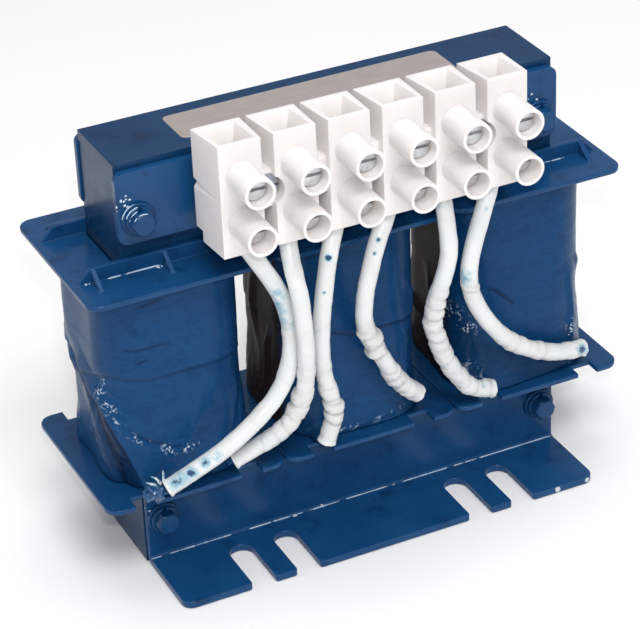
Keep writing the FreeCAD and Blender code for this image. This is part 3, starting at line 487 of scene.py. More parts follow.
# For each coil: where its film starts to spread towards its foot, as (angle, height, spread at the foot).
SKIRTS = {
    "left": [
        (-191, 60, 0), (-150, 57, 0), (-130, 45.7, 0.6), (-119, 42, 1.2), (-104, 38.5, 1.8),
        (-88, 37.7, 1.8),
        (-60, 37, 1.4), (-20, 58, 1.5), (20, 58, 1.5), (60, 40, 1.2), (110, 42, 1.6), (150, 50, 0.5),
    ],
    "centre": [
        (-170, 40, 0.4), (-120, 40, 1.4), (-100, 35, 1.3), (-60, 33, 1.2), (0, 40, 1), (90, 45, 2),
        (150, 50, 1),
    ],
    "right": [
        (-168, 54, 0.8), (-146, 56.5, 2.2), (-135, 52, 3.2), (-123, 44.5, 3.4), (-101, 36.3, 2.2),
        (-70, 34, 1.4),
        (-45, 46, 1.6), (0, 50, 1.4), (90, 42, 1.6), (150, 50, 0.6),
    ],
}
# Folds: (angle, height, lift) along the crest, its width to the left and the right, and how much painted
# shade lies along it.
FOLDS = {
    "left": [
        ([(-190, 60, 0.3), (-183, 58.3, 1.1), (-166, 55.3, 1.6), (-149, 53, 2), (-139, 47.2, 2.3),
          (-131.5, 40.7, 2.4), (-123.5, 30.2, 2), (-122, 28, 1.9)], (5.5, 0.7), 0),
        ([(-200, 58, 0), (-182, 54, -0.9), (-164, 49, -1.2), (-150, 42, -1.2), (-141, 35, -1.2),
          (-136, 28, -1.2)], (2.6, 3.4), 1),
        ([(-222, 66, 0), (-212, 60, 0.9), (-206, 55, 1.1), (-200, 50, 0.4), (-192, 46, 0)], (2.5, 3), 0),
        ([(-210, 52, -1.2), (-204, 42, -1.7), (-196, 28, -1.7)], (12, 11), 0),
        ([(-140, 51.4, 0.1), (-130, 45.2, 0.5), (-119, 41.4, 0.6), (-104, 38, 0.6), (-88, 37.2, 0.5),
          (-76, 38, 0)], (0.5, 3.4), 0),
        ([(-131, 47.4, 0), (-119, 42.9, -0.12), (-104, 39.3, -0.12), (-88, 38.5, 0)], (0.9, 0.5), 0.7),
        ([(-76, 57, 0), (-78, 53, 0.4), (-83, 45, 0.45), (-90, 39, 0.2)], (4, 1.6), 0),
        ([(-52, 58, 0), (-48, 50, 0.6), (-56, 40, 0.5), (-66, 30, 0.2)], (2, 5), 0),
        ([(-128, 70, -0.06), (-122, 69.8, -0.12), (-108, 70.4, -0.1), (-94, 69.6, 0)], (0.5, 0.5), 0.8),
        ([(-124, 65.6, 0), (-119, 66.4, -0.12), (-113, 67.2, 0)], (0.7, 0.5), 0.9),
        ([(-125, 81.4, 0), (-112, 82.8, -0.1), (-96, 83.6, 0)], (0.6, 0.6), 0.8),
        ([(-120, 76.6, 0), (-108, 77.4, -0.06), (-92, 77.8, 0)], (0.4, 0.4), 0.35),
    ],
    "centre": [
        ([(172, 74, 0), (168, 66, 0.8), (166, 58, 1), (172, 46, 0.3), (178, 38, 0)], (3, 3), 0),
        ([(196, 58, 0), (188, 50, 0.9), (184, 40, 0.9), (188, 30, 0.5)], (2.6, 1.2), 0.2),
        ([(-60, 57, 0), (-52, 50, 0.5), (-56, 40, 0.5), (-50, 30, 0.2)], (3, 2), 0),
        ([(-110, 38, 0), (-90, 35, 0.35), (-64, 37, 0.3), (-50, 44, 0)], (1.2, 3), 0),
        ([(-48, 68, 0), (-42, 62, 0.7), (-44, 54, 0.2)], (1.5, 2.5), 0),
    ],
    "right": [
        ([(-123, 58.9, 0), (-118, 57.8, -0.35), (-112, 55.8, -0.4), (-103, 52.2, 0)], (0.9, 0.5), 1),
        ([(-62, 60, 0), (-58, 56, 0.9), (-56, 50, 1.3), (-53, 44, 1.4), (-55, 38, 1.2), (-60, 30, 0.6)],
         (4.2, 0.8), 0),
        ([(-48, 62, 0), (-42, 58, 0.6), (-36, 52, 0.2)], (2.4, 1.6), 0),
        ([(148, 46, 0), (156, 44.4, 1.7), (164, 42.8, 1.6), (170, 41, 0)], (1, 1), 0.3),
        ([(176, 60, 0), (182, 52, 0.9), (190, 42, 1), (192, 30, 0.5)], (1.6, 3), 0.3),
    ],
}
# Glossy varnish with small painted glints: (angle, height) along a line, its half width and its strength.
GLINTS = {
    "left": [
        ([(-145, 60), (-150, 56.5)], 0.5, 0.9), ([(-150, 56), (-144, 54.2), (-140, 51.6)], 1.1, 0.9),
        ([(-140, 51.5), (-130, 45.7), (-119, 42)], 0.55, 0.8),
        ([(-108, 39.4), (-102, 38.4), (-90, 37.9)], 0.9, 1.1), ([(-88, 37.9), (-80, 38.3)], 0.35, 0.8),
        ([(-186, 56), (-172, 51), (-154, 45.4), (-140, 38)], 0.3, 0.55),
    ],
    "centre": [([(-110, 29.4), (-82, 29.9), (-62, 30.6)], 0.4, 0.9), ([(-64, 38), (-58, 31)], 0.3, 0.4)],
    "right": [
        ([(-150, 51), (-143, 49.3), (-137, 47)], 1.9, 1.3),
        ([(-134, 36), (-128, 31.4)], 1.6, 0.45), ([(-54, 41), (-55, 37.6)], 0.8, 0.9),
        ([(152, 45.2), (162, 43.2)], 0.8, 1),
    ],
}
# Painted shade on the film behind a fold's crest, as the fold's line and how far it reaches behind it.
SHADE_BEHIND_FOLD = {
    "left": ([(-190, 60), (-166, 55.3), (-149, 53), (-139, 47.2), (-131.5, 40.7), (-122, 28)], 13.0),
}
# Painted shade on a skirt: coil, the range of angles it covers and how dark it is.
SHADED_SKIRT = {"right": (-172, -48, 0.32)}
# How bare of blue the film is, as (angle, share): the flanks in the core's windows are brown, a brown
# darkened with painted shade.
BARE_SIDES = {
    "left": [(-90, 0), (-30, 0), (-12, 0.55), (30, 0.55), (60, 0), (180, 0)],
    "centre": [
        (-155, 0.95), (-138, 0), (-30, 0), (-12, 0.55), (30, 0.55), (60, 0), (112, 0), (124, 0.95),
        (180, 1),
    ],
    "right": [(-160, 0.95), (-142, 0), (0, 0), (112, 0), (124, 0.95), (180, 1)],
}


def rounded_outline(half_x, half_y, corner, steps):
    """Points and outward normals round a rounded rectangle, from the middle of the right side."""
    quarter = math.pi * corner / 2
    flats = [2 * (half_y - corner), 2 * (half_x - corner)] * 2
    total = 4 * quarter + sum(flats)
    points = []
    for step in range(steps):
        run = total * step / steps + flats[0] / 2
        side = 0
        while run >= flats[side % 4] + quarter:
            run -= flats[side % 4] + quarter
            side += 1
        turn = side * math.pi / 2
        out = Vector((math.cos(turn), math.sin(turn)))
        along = Vector((-out.y, out.x))
        reach = half_x if side % 2 == 0 else half_y
        flat = flats[side % 4]
        if run <= flat:
            points.append((out * reach + along * (run - flat / 2), out))
        else:
            bend = (run - flat) / corner
            direction = out * math.cos(bend) + along * math.sin(bend)
            points.append((out * (reach - corner) + along * (flat / 2) + direction * corner, direction))
    return points


def film_noise(points, rows, seed, across, along, sharp=False):
    """Noise over a coil's film, about -1 to 1; sharp noise has creases."""
    field = np.empty((len(rows), len(points)))
    for row, z in enumerate(rows):
        for step, (x, y) in enumerate(points):
            level = noise.noise(Vector((x * across + seed, y * across - seed, z * along)))
            field[row, step] = 1.0 - abs(level) * 2.2 if sharp else level
    return field


def round_table(angle, table, column=1):
    """A table of angles and values read all round a coil."""
    return np.interp(angle, [row[0] for row in table], [row[column] for row in table], period=360)


def line_distance(angle, height, line):
    """Distance over the film from a line of (angle, height) points, side of it (1: right), run along it."""
    first = line[0][0]
    across = np.radians(first + (angle - first + 180) % 360 - 180) * WRAP_GIRTH
    corners = [(math.radians(point[0]) * WRAP_GIRTH, point[1]) for point in line]
    nearest = np.full(angle.shape, 1e9)
    side, run = np.ones(angle.shape), np.zeros(angle.shape)
    for index, ((x, z), (next_x, next_z)) in enumerate(zip(corners, corners[1:])):
        dx, dz = next_x - x, next_z - z
        share = np.clip(((across - x) * dx + (height - z) * dz) / (dx * dx + dz * dz), 0, 1)
        gap = np.hypot(across - x - share * dx, height - z - share * dz)
        nearer = gap < nearest
        nearest = np.where(nearer, gap, nearest)
        side = np.where(nearer, np.sign((across - x) * dz - (height - z) * dx), side)
        run = np.where(nearer, index + share, run)
    return nearest, side, run


def add_attribute(piece, name, values):
    attribute = piece.data.attributes.new(name, "FLOAT", "POINT")
    attribute.data.foreach_set("value", values)


def make_wrap(coil, centre, seed):
    outline = rounded_outline(WRAP_HALF_X, WRAP_HALF_Y, WRAP_CORNER, WRAP_STEPS)
    points = np.array([tuple(point) for point, out in outline])
    outs = np.array([tuple(out) for point, out in outline])
    rows = np.linspace(WRAP_BOTTOM, WRAP_TOP, WRAP_ROWS + 1)
    angle, height = np.meshgrid(np.degrees(np.arctan2(points[:, 1], points[:, 0])), rows)

    offset = 0.35 * film_noise(points, rows, seed, 0.07, 0.05)
    band, lift, edge_dark = BANDS[coil]
    edge = round_table(angle, band) + 0.8 * film_noise(points, rows, seed, 0.1, 0.0)
    in_band = smoothstep(-0.3, 0.3, height - edge)
    offset += in_band * (lift + 0.06 * film_noise(points, rows, seed, 0.1, 0.24, True))
    offset += (1 - in_band) * 0.28 * film_noise(points, rows, seed, 0.06, 0.08, True)
    crease_shade = edge_dark * bell(height - edge + 0.45, 0.5)
    start = round_table(angle, SKIRTS[coil])
    share = np.clip((start - height) / (start - WRAP_BOTTOM), 0, 1)
    offset += round_table(angle, SKIRTS[coil], 2) * share
    offset += 0.16 * smoothstep(0, 0.2, share) * film_noise(points, rows, seed + 9, 0.3, 0.3, True)
    bare = round_table(angle, BARE_SIDES[coil])
    for line, widths, dark in FOLDS[coil]:
        gap, side, run = line_distance(angle, height, line)
        crest = np.interp(run, range(len(line)), [point[2] for point in line])
        width = np.where(side > 0, widths[1], widths[0])
        offset += crest * np.clip(1 - gap / width, 0, 1)
        shade = dark * bell(gap, 0.7 * min(widths)) * np.clip(np.abs(crest) / 0.08, 0, 1)
        crease_shade = np.maximum(crease_shade, shade)
    if coil in SHADE_BEHIND_FOLD:
        line, reach = SHADE_BEHIND_FOLD[coil]
        gap, side, run = line_distance(angle, height, line)
        behind = (side > 0) * smoothstep(0.4, 1.6, gap) * (1 - smoothstep(0.2 * reach, reach, gap))
        crease_shade = np.maximum(crease_shade, 0.75 * behind * (run > 0.02))
    if coil in SHADED_SKIRT:
        low, high, dark = SHADED_SKIRT[coil]
        within = smoothstep(low, low + 8, angle) * (1 - smoothstep(high - 8, high, angle))
        crease_shade = np.maximum(crease_shade, dark * within * smoothstep(0.02, 0.12, share))
    # Glossy lines: lower roughness and beads of relief, and painted glints in the film's colour.
    wet_and_glints = np.zeros(angle.shape)
    for line, half, strength in GLINTS[coil]:
        wet_and_glints = np.maximum(wet_and_glints, strength * bell(line_distance(angle, height, line)[0], half))
    offset = np.maximum(offset, WRAP_DEEPEST)
    ruffle = film_noise(points, rows, seed, 0.35, 0.0, True)
    offset += 0.2 * smoothstep(WRAP_TOP - 1.6, WRAP_TOP, height) * ruffle

    places = points[None] + outs[None] * offset[..., None]
    vertices = [(centre + x, y, z) for row, z in zip(places, rows) for x, y in row]
    faces = tube_faces(WRAP_ROWS + 1, WRAP_STEPS)
    sizes = [size - WRAP_TURN_IN for size in (WRAP_HALF_X, WRAP_HALF_Y, WRAP_CORNER)]
    inner = rounded_outline(*sizes, WRAP_STEPS)
    for outer_ring, z in ((0, WRAP_BOTTOM + 0.2), (WRAP_ROWS * WRAP_STEPS, WRAP_TOP - 0.2)):
        faces += ring_faces(outer_ring, len(vertices), WRAP_STEPS)
        vertices += [(centre + point.x, point.y, z) for point, out in inner]
    piece = add_mesh(f"film_{coil}", vertices, faces)
    ends = [WRAP_END_SHADE] * (2 * WRAP_STEPS)
    add_attribute(piece, "crease_shade", list(np.clip(crease_shade, 0, 1).ravel()) + ends)
    add_attribute(piece, "bare", list(bare.ravel()) + ends)
    add_attribute(piece, "wet_and_glints", list(wet_and_glints.ravel()) + [0.0] * (2 * WRAP_STEPS))
    dress(piece, film_varnish, "wrap", f"coil_wrap_{coil}")


for coil, seed in (("left", 3.1), ("centre", 11.7), ("right", 23.4)):
    make_wrap(coil, COILS[coil], seed)


# Leads.

LEAD_DIAMETER = 4.7
CURVE_STEPS = 10
LEAD_ROUTES = {
    "lead_1": [
        (-36.7, -25.3, 100.3), (-34.9, -27.8, 96.6), (-31.5, -30.9, 90.2), (-26.7, -29.9, 81.2),
        (-23.7, -28.7, 71.0), (-24.2, -28.8, 60.6), (-28.4, -29.7, 52.2), (-35.9, -30.3, 46.2),
        (-43.8, -29.8, 40.6), (-52.1, -28.6, 36.0), (-60.2, -27.2, 31.8),
    ],
    "lead_2": [
        (-22.1, -25.3, 100.3), (-23.7, -28.6, 96.5), (-24.5, -32.9, 89.7), (-23.7, -34.9, 82.2),
        (-23.0, -34.7, 73.5), (-22.0, -33.4, 64.1), (-21.7, -31.9, 55.0), (-22.9, -30.3, 47.1),
        (-26.5, -28.6, 40.5), (-32.0, -26.9, 37.0), (-36.9, -25.4, 34.2), (-40.4, -24.7, 32.6),
    ],
    "lead_3": [
        (-7.5, -25.3, 100.3), (-9.4, -27.9, 96.8), (-13.6, -31.2, 89.6), (-15.3, -31.4, 80.0),
        (-16.0, -30.2, 70.0), (-16.0, -29.0, 60.1), (-15.0, -28.6, 51.5), (-12.9, -28.4, 44.7),
        (-12.4, -28.0, 38.2), (-14.3, -26.6, 31.5),
    ],
    "lead_4": [
        (7.2, -25.3, 100.3), (5.7, -27.9, 96.4), (0.2, -31.3, 90.2), (-2.6, -31.9, 82.0),
        (-4.0, -31.0, 74.0), (-3.6, -29.4, 65.7), (-0.9, -27.9, 58.7), (3.0, -26.6, 51.5),
        (6.4, -25.4, 44.9), (10.5, -24.4, 39.5), (14.5, -23.6, 35.7),
    ],
    "lead_5": [
        (22.0, -25.3, 100.3), (20.6, -28.1, 96.2), (20.0, -31.5, 88.8), (20.5, -31.9, 80.5),
        (18.8, -30.8, 72.4), (16.7, -29.3, 64.6), (17.2, -28.1, 56.7), (20.3, -27.2, 48.0),
        (24.5, -26.5, 40.2), (28.4, -26.1, 35.2), (32.0, -25.8, 32.7), (36.0, -25.5, 31.6),
    ],
    "lead_6": [
        (36.6, -25.3, 100.3), (35.1, -27.9, 96.4), (30.6, -31.3, 90.0), (27.4, -31.9, 81.5),
        (26.2, -30.9, 72.8), (27.9, -29.6, 64.8), (32.0, -28.5, 56.8), (37.6, -27.4, 49.0),
        (44.3, -26.5, 42.8), (51.8, -25.4, 38.4), (59.3, -23.9, 35.1), (66.1, -22.4, 33.9),
    ],
}


def spline_points(name, route):
    """The smooth line that a lead follows: a NURBS spline with the route as its control points."""
    curve = bpy.data.curves.new(name, "CURVE")
    curve.dimensions = "3D"
    curve.resolution_u = CURVE_STEPS
    spline = curve.splines.new("NURBS")
    spline.points.add(len(route) - 1)
    for point, place in zip(spline.points, route):
        point.co = (place[0] * MM, place[1] * MM, place[2] * MM, 1)
    spline.order_u = 3
    spline.use_endpoint_u = True
    holder = add_object(name, curve)
    mesh = bpy.data.meshes.new_from_object(holder.evaluated_get(bpy.context.evaluated_depsgraph_get()))
    points = [vertex.co.copy() / MM for vertex in mesh.vertices]
    bpy.data.objects.remove(holder)
    bpy.data.meshes.remove(mesh)
    return points


def resample(points, spacing):
    """Points at even spacing along a line, with their distances from its start."""
    line = np.array([tuple(point) for point in points])
    lengths = np.concatenate([[0], np.cumsum(np.linalg.norm(np.diff(line, axis=0), axis=1))])
    count = max(4, int(lengths[-1] / spacing))
    distances = np.linspace(0, lengths[-1], count + 1)
    even = np.stack([np.interp(distances, lengths, line[:, axis]) for axis in range(3)], axis=1)
    return even, distances


def turning_frames(line):
    """Two directions across a line at each of its points, carried along it without twist."""
    tangents = np.gradient(line, axis=0)
    tangents /= np.linalg.norm(tangents, axis=1)[:, None]
    side = np.cross(tangents[0], (0.0, 0.0, 1.0))
    side = side / np.linalg.norm(side) if np.linalg.norm(side) > 0.1 else np.array((1.0, 0.0, 0.0))
    frames = []
    for tangent in tangents:
        side = side - tangent * np.dot(side, tangent)
        side /= np.linalg.norm(side)
        frames.append((side, np.cross(tangent, side)))
    return frames


def sweep(line, rings, sides):
    """Vertices and faces of a tube: each ring gives its place on the line and its radius all round."""
    frames = turning_frames(line)
    vertices = []
    for index, radii in rings:
        for step in range(sides):
            angle = 2 * math.pi * step / sides
            across = frames[index][0] * math.cos(angle) + frames[index][1] * math.sin(angle)
            vertices.append(tuple(line[index] + across * radii[step]))
    return vertices, tube_faces(len(rings), sides)


LEAD_SIDES = 30
LEAD_STEP = 0.3
SLEEVE_RADIUS = LEAD_DIAMETER / 2 - 0.05
SLEEVE_BORE = 1.75
SLEEVE_DEPTH = 3.0

# Where the sleeve is bunched or ringed: distance along the lead, half length and height of each lump.
LUMPS = {
    "lead_1": [(34.6, 1.2, 0.16), (47, 2.2, 0.12), (60, 2, 0.10)],
    "lead_2": [
        (45.5, 1.6, 0.24), (53.3, 2.1, 0.62), (57.8, 1.9, 0.54), (61.6, 1.8, 0.28), (65.2, 2, 0.24),
        (69.5, 2.2, 0.2),
    ],
    "lead_3": [(47, 1.2, 0.2), (55, 2, 0.3), (60.4, 1.6, 0.64), (63.6, 1.6, 0.42), (67.5, 2, 0.18)],
    "lead_4": [
        (41.5, 1.2, 0.5), (45.6, 2.2, 0.74), (49.9, 1.7, 0.68), (60.2, 1.5, 0.4), (63.2, 1.6, 0.45),
        (66.4, 1.6, 0.42),
        (69.6, 1.6, 0.36), (72.4, 1.3, 0.42),
    ],
    "lead_5": [
        (33.3, 1.5, 0.32), (36.3, 1.5, 0.38), (39.6, 1.7, 0.42), (43.2, 1.7, 0.44), (47, 1.9, 0.42),
        (51.1, 2, 0.44),
        (55.2, 2, 0.44), (60.6, 2.3, 0.32), (65.2, 2, 0.38), (69.7, 1.9, 0.38), (76.2, 1.6, 0.4),
    ],
    "lead_6": [
        (35.3, 0.9, 0.24), (58.6, 1.6, 0.22), (62.6, 1.5, 0.38), (66.5, 2.2, 0.2), (73.7, 1.6, 0.34),
        (79, 2.4, 0.14),
        (86.5, 2, 0.24),
    ],
}
SIDES_OF_LEAD = {"left": (-0.91, -0.41, 0.0), "front": (-0.36, -0.78, 0.5), "right": (0.91, -0.41, 0.0)}
SMEAR_WIDTH = 2.5
# Blue smears: distance along the lead, half length, the side that they lie on, strength.
SMEARS = {
    "lead_1": [
        (20.5, 3, "front", 0.55), (25, 5.5, "left", 0.75), (31, 3.5, "left", 0.7),
        (32, 3, "front", 0.45),
        (75.5, 3, "front", 0.5), (79, 1.7, "front", 1), (83.2, 2, "front", 1.1),
        (87, 3.4, "front", 1),
    ],
    "lead_2": [(10, 6, "left", 0.4), (32.3, 1.2, "right", 0.75), (45, 1.5, "left", 0.4)],
    "lead_3": [(14.2, 0.8, "front", 1.9), (23.1, 0.45, "front", 1.4), (34, 3, "left", 0.35)],
    "lead_4": [
        (13.8, 0.7, "front", 1.4), (17, 0.5, "front", 1.3), (27.3, 0.9, "right", 1.5),
        (33, 0.7, "right", 0.7),
        (64.8, 0.9, "front", 0.8), (70.9, 0.8, "left", 0.8),
    ],
    "lead_5": [(8, 4, "left", 0.35), (58, 1, "left", 0.6), (74.2, 0.8, "right", 0.9)],
    "lead_6": [
        (12.1, 2, "front", 0.35), (31.1, 2.8, "left", 0.75), (35.6, 0.6, "right", 1.2),
        (89, 1.8, "right", 1.2),
    ],
}


def slanted_lumps(name, seed):
    """Each lump of a lead with a slant of its own and the side to which it slants."""
    chance = random.Random(int(seed * 10))
    return [lump + (chance.uniform(0.2, 1.0), chance.uniform(0, 2 * math.pi)) for lump in LUMPS[name]]


def lump_sway(place, slant, side, angle):
    """How far a lump's ring runs along the lead at one side of it."""
    around = Vector((math.cos(angle) * 1.4, math.sin(angle) * 1.4, place))
    return slant * math.cos(angle - side) + 0.6 * noise.noise(around)


def lump_height(lumps, distance, angle):
    """The highest lump over a point of the sleeve, rounded at its crest and sharp at its foot."""
    height = 0.0
    for place, half, top, slant, side in lumps:
        gap = (distance - place + lump_sway(place, slant, side, angle)) / half
        if abs(gap) < 1:
            height = max(height, top * math.sqrt(1 - gap * gap) * (0.85 + 0.5 * math.cos(angle - side + 2)))
    return height


def groove_shading(lumps, distance, angle):
    """Painted shade at the foot of a lump: how near a point of the sleeve is to it, 0 to 1, times 0.42."""
    depth = 0.0
    for place, half, top, slant, side in lumps:
        gap = abs(distance - place + lump_sway(place, slant, side, angle)) - half
        share = min(1.0, 2.0 * top) * (0.6 + 0.5 * math.cos(angle - side + 2))
        depth = max(depth, share * bell(gap, 0.38))
    return 0.42 * depth


def bunching(name, distance):
    """How near a point of the sleeve is to a lump, 0 to 1."""
    return max(min(1.0, 2 * top) * bell(distance - place, 4.0) for place, half, top in LUMPS[name])


def make_lead(name, route, seed):
    """A sleeved lead: bunched and stained sleeve, open at its lower end."""
    path = spline_points(f"{name}_line", route)
    line, distances = resample(path, LEAD_STEP)
    frames = turning_frames(line)
    length = float(distances[-1])
    rings, stains, inside_shades, groove_shades = [], [], [], []
    lumps = slanted_lumps(name, seed)
    for index, distance in enumerate(distances):
        swell = 0.07 * noise.noise(Vector((distance * 0.12, seed, 0.0)))
        rim = 0.28 * max(0.0, 1 - (length - distance) / 1.1)
        bunched = bunching(name, distance)
        first, second = frames[index]
        turns = {
            side: math.atan2(np.dot(way, second), np.dot(way, first)) for side, way in SIDES_OF_LEAD.items()
        }
        radii = []
        for step in range(LEAD_SIDES):
            angle = 2 * math.pi * step / LEAD_SIDES
            around = Vector((math.cos(angle), math.sin(angle), distance * 0.35 + seed))
            wrinkle = Vector((math.cos(angle) * 1.8, math.sin(angle) * 1.8, distance * 1.1 + seed))
            bulge = lump_height(lumps, distance, angle) + 0.26 * bunched * noise.noise(wrinkle)
            uneven = 0.08 * noise.noise(around) + rim * (1 + noise.noise(around * 3))
            radii.append(SLEEVE_RADIUS + swell + bulge + uneven)
            stain = 0.0
            for place, extent, side, strength in SMEARS[name]:
                arc = SLEEVE_RADIUS * ((angle - turns[side] + math.pi) % (2 * math.pi) - math.pi)
                width = min(extent, SMEAR_WIDTH)
                spread = ((distance - place) / extent) ** 2 + (arc / width) ** 2
                stain = max(stain, strength * math.exp(-spread))
            stains.append(stain)
            # Painted shade at the feet of lumps, and more over the bunched stretches.
            groove_shades.append(groove_shading(lumps, distance, angle) + 0.22 * bunched)
        rings.append((index, radii))
        inside_shades += [0.0] * LEAD_SIDES
    last = len(distances) - 1
    depth = int(SLEEVE_DEPTH / LEAD_STEP)
    # The bore inside the open end, with painted shade that deepens inward.
    for back, wider, inside in ((0, 0.15, 0.3), (1, 0.0, 0.8), (depth, 0.0, 1.0)):
        rings.append((last - back, [SLEEVE_BORE + wider] * LEAD_SIDES))
        stains += [0.2] * LEAD_SIDES
        inside_shades += [inside] * LEAD_SIDES
        groove_shades += [0.0] * LEAD_SIDES
    vertices, faces = sweep(line, rings, LEAD_SIDES)
    piece = add_mesh(f"{name}_sleeve", vertices, faces + end_faces(len(rings), LEAD_SIDES))
    add_attribute(piece, "stain", stains)
    add_attribute(piece, "inside", inside_shades)
    add_attribute(piece, "groove_shade", groove_shades)
    dress(piece, lead_sleeve, "lead", name)
    return piece, path, length


# Each conductor leaves its sleeve and turns back under the coil's film, to this y.
CONDUCTOR_DEPTH = -16.5


def conductor_route(route):
    before, last = Vector(route[-2]), Vector(route[-1])
    along = (last - before).normalized()
    inside, out = last - along * 3.0, last + along * 0.6
    bend = last + along * 1.3 + Vector((0.0, 1.8, -0.4))
    return [inside, out, bend, Vector((bend.x, (bend.y + CONDUCTOR_DEPTH) / 2, bend.z - 0.6)),
            Vector((bend.x, CONDUCTOR_DEPTH, bend.z - 0.8))]


STRANDS = 7
STRAND_RADIUS = 0.42
STRAND_REACH = 0.78
# The sides of all the thin round lines: strands and lines of varnish.
THIN_SIDES = 8


def make_conductor(name, route):
    """A short stranded wire: strands twisted about one line."""
    line, distances = resample(spline_points(f"{name}_core", route), LEAD_STEP)
    parts = []
    for strand in range(STRANDS):
        reach = 0.0 if strand == 0 else STRAND_REACH
        turned = []
        for point, distance in zip(line, distances):
            angle = strand * 2 * math.pi / (STRANDS - 1) + distance * 0.5
            across = np.array((math.cos(angle), math.sin(angle) * 0.7, math.sin(angle) * 0.7))
            turned.append(point + reach * across)
        rings = [(index, [STRAND_RADIUS] * THIN_SIDES) for index in range(len(turned))]
        vertices, faces = sweep(np.array(turned), rings, THIN_SIDES)
        parts.append((vertices, faces + end_faces(len(rings), THIN_SIDES)))
    return dress(add_mesh(f"{name}_wire", *join_meshes(parts)), bolt_varnish, "fastener")


for number, (name, route) in enumerate(LEAD_ROUTES.items()):
    tube, path, length = make_lead(name, route, number * 7.3)
    wire = make_conductor(name, conductor_route(route))


# Varnish that has run together, and scraps of film at the first lead's end.


def lump_mesh(centre, radii, seed, rings, sides, rough=0.3):
    """Vertices and faces of an uneven rounded lump."""
    vertices = []
    for ring in range(rings + 1):
        tilt = math.pi * ring / rings
        for step in range(sides):
            turn = 2 * math.pi * step / sides
            out = Vector((math.sin(tilt) * math.cos(turn), math.sin(tilt) * math.sin(turn), math.cos(tilt)))
            reach = 1 + rough * noise.noise(out * 1.7 + Vector((seed, 0, 0)))
            vertices.append(tuple(centre[axis] + out[axis] * radii[axis] * reach for axis in range(3)))
    return vertices, tube_faces(rings + 1, sides)


COLLAR_FACE = -13.75
# Clusters of beads where sparkles fall, coloured with painted glints: centre, spread along each axis,
# number, largest radius.
BEADS = [
    ((-70.6, -12.4, 88.85), (2.8, 2.2, 0.0), 12, 0.42), ((-51.9, -13.4, 88.85), (1.6, 1.6, 0.0), 9, 0.4),
    ((-60.6, -13.85, 108.2), (2.0, 0.0, 2.4), 9, 0.36), ((54.6, -13.85, 108.4), (2.2, 0.0, 1.8), 7, 0.34),
    ((-61.5, -13.85, 17.5), (1.0, 0.0, 1.2), 4, 0.32),
]
# Lines of varnish along inner corners where highlight lines fall, coloured with painted glints: both ends
# and the radius.
BEAD_LINES = [
    ((-61.6, -14.45, 2.1), (61.6, -14.45, 2.1), 0.16),
    ((-66.4, COLLAR_FACE, 88.85), (-53.2, COLLAR_FACE, 88.85), 0.2),
    ((57.0, COLLAR_FACE, 88.85), (65.5, COLLAR_FACE, 88.85), 0.18),
]
# The upper-left bolt's axis as (x, z), and arcs of varnish round it: radius, y, first and last angle.
BOLT_AXIS = (-57.1, 103.5)
ARC_RADIUS = 0.16
ARC_POINTS = 14
# The arcs lie along the washers' edges where highlights fall, and carry painted glints.
BEAD_ARCS = [(4.55, -14.5, 100, 168), (3.9, -15.4, 95, 160), (3.3, -16.3, 105, 165), (2.9, -18.0, 60, 150)]


def thin_ring(radius, index, last):
    """The radii of one ring of a line of varnish, which is thinner at both ends."""
    return [radius * (0.3 if index in (0, last) else 1.0)] * THIN_SIDES


def make_beads():
    chance = random.Random(5)
    parts = []
    for centre, spread, count, largest in BEADS:
        for _ in range(count):
            place = [value + chance.uniform(-reach, reach) for value, reach in zip(centre, spread)]
            size = largest * chance.uniform(0.45, 1.0)
            radii = [size * (0.55 if reach == 0 else chance.uniform(0.8, 1.5)) for reach in spread]
            parts.append(lump_mesh(place, radii, chance.uniform(0, 50), 6, 10))
    for first, last, radius in BEAD_LINES:
        count = int((Vector(last) - Vector(first)).length / 0.5)
        line = np.linspace(first, last, count + 1)
        rings = []
        for index, point in enumerate(line):
            swell = 1 + 0.5 * noise.noise(Vector((point[0] * 0.35, point[1], point[2])))
            rings.append((index, thin_ring(radius * swell, index, count)))
        parts.append(sweep(line, rings, THIN_SIDES))
    x, z = BOLT_AXIS
    for radius, y, first, last in BEAD_ARCS:
        turns = np.radians(np.linspace(first, last, ARC_POINTS))
        line = np.array([(x + radius * math.cos(turn), y, z + radius * math.sin(turn)) for turn in turns])
        rings = [(index, thin_ring(ARC_RADIUS, index, ARC_POINTS - 1)) for index in range(ARC_POINTS)]
        parts.append(sweep(line, rings, THIN_SIDES))
    dress(add_mesh("varnish_beads", *join_meshes(parts)), bead_varnish_glints, "bracket")


# Scraps of torn film about the first lead's end: root, direction, length and width.
SCRAPS = [
    ((-61.6, -26.8, 33.4), (-0.6, 0.2, 0.8), 3.4, 1.0), ((-62.6, -26.2, 33.0), (-0.9, 0.2, 0.45), 3.0, 0.9),
    ((-62.4, -27.6, 32.2), (-0.9, -0.3, 0.0), 2.2, 1.2), ((-60.6, -25.8, 33.6), (0.2, 0.4, 0.9), 2.6, 0.8),
]
SCRAP_THICKNESS = 0.14
SCRAP_STEPS = 10
# The lump of varnish at the lead's end: centre and radii.
BLOB = ((-63.2, -26.6, 31.2), (2.7, 2.3, 2.1))


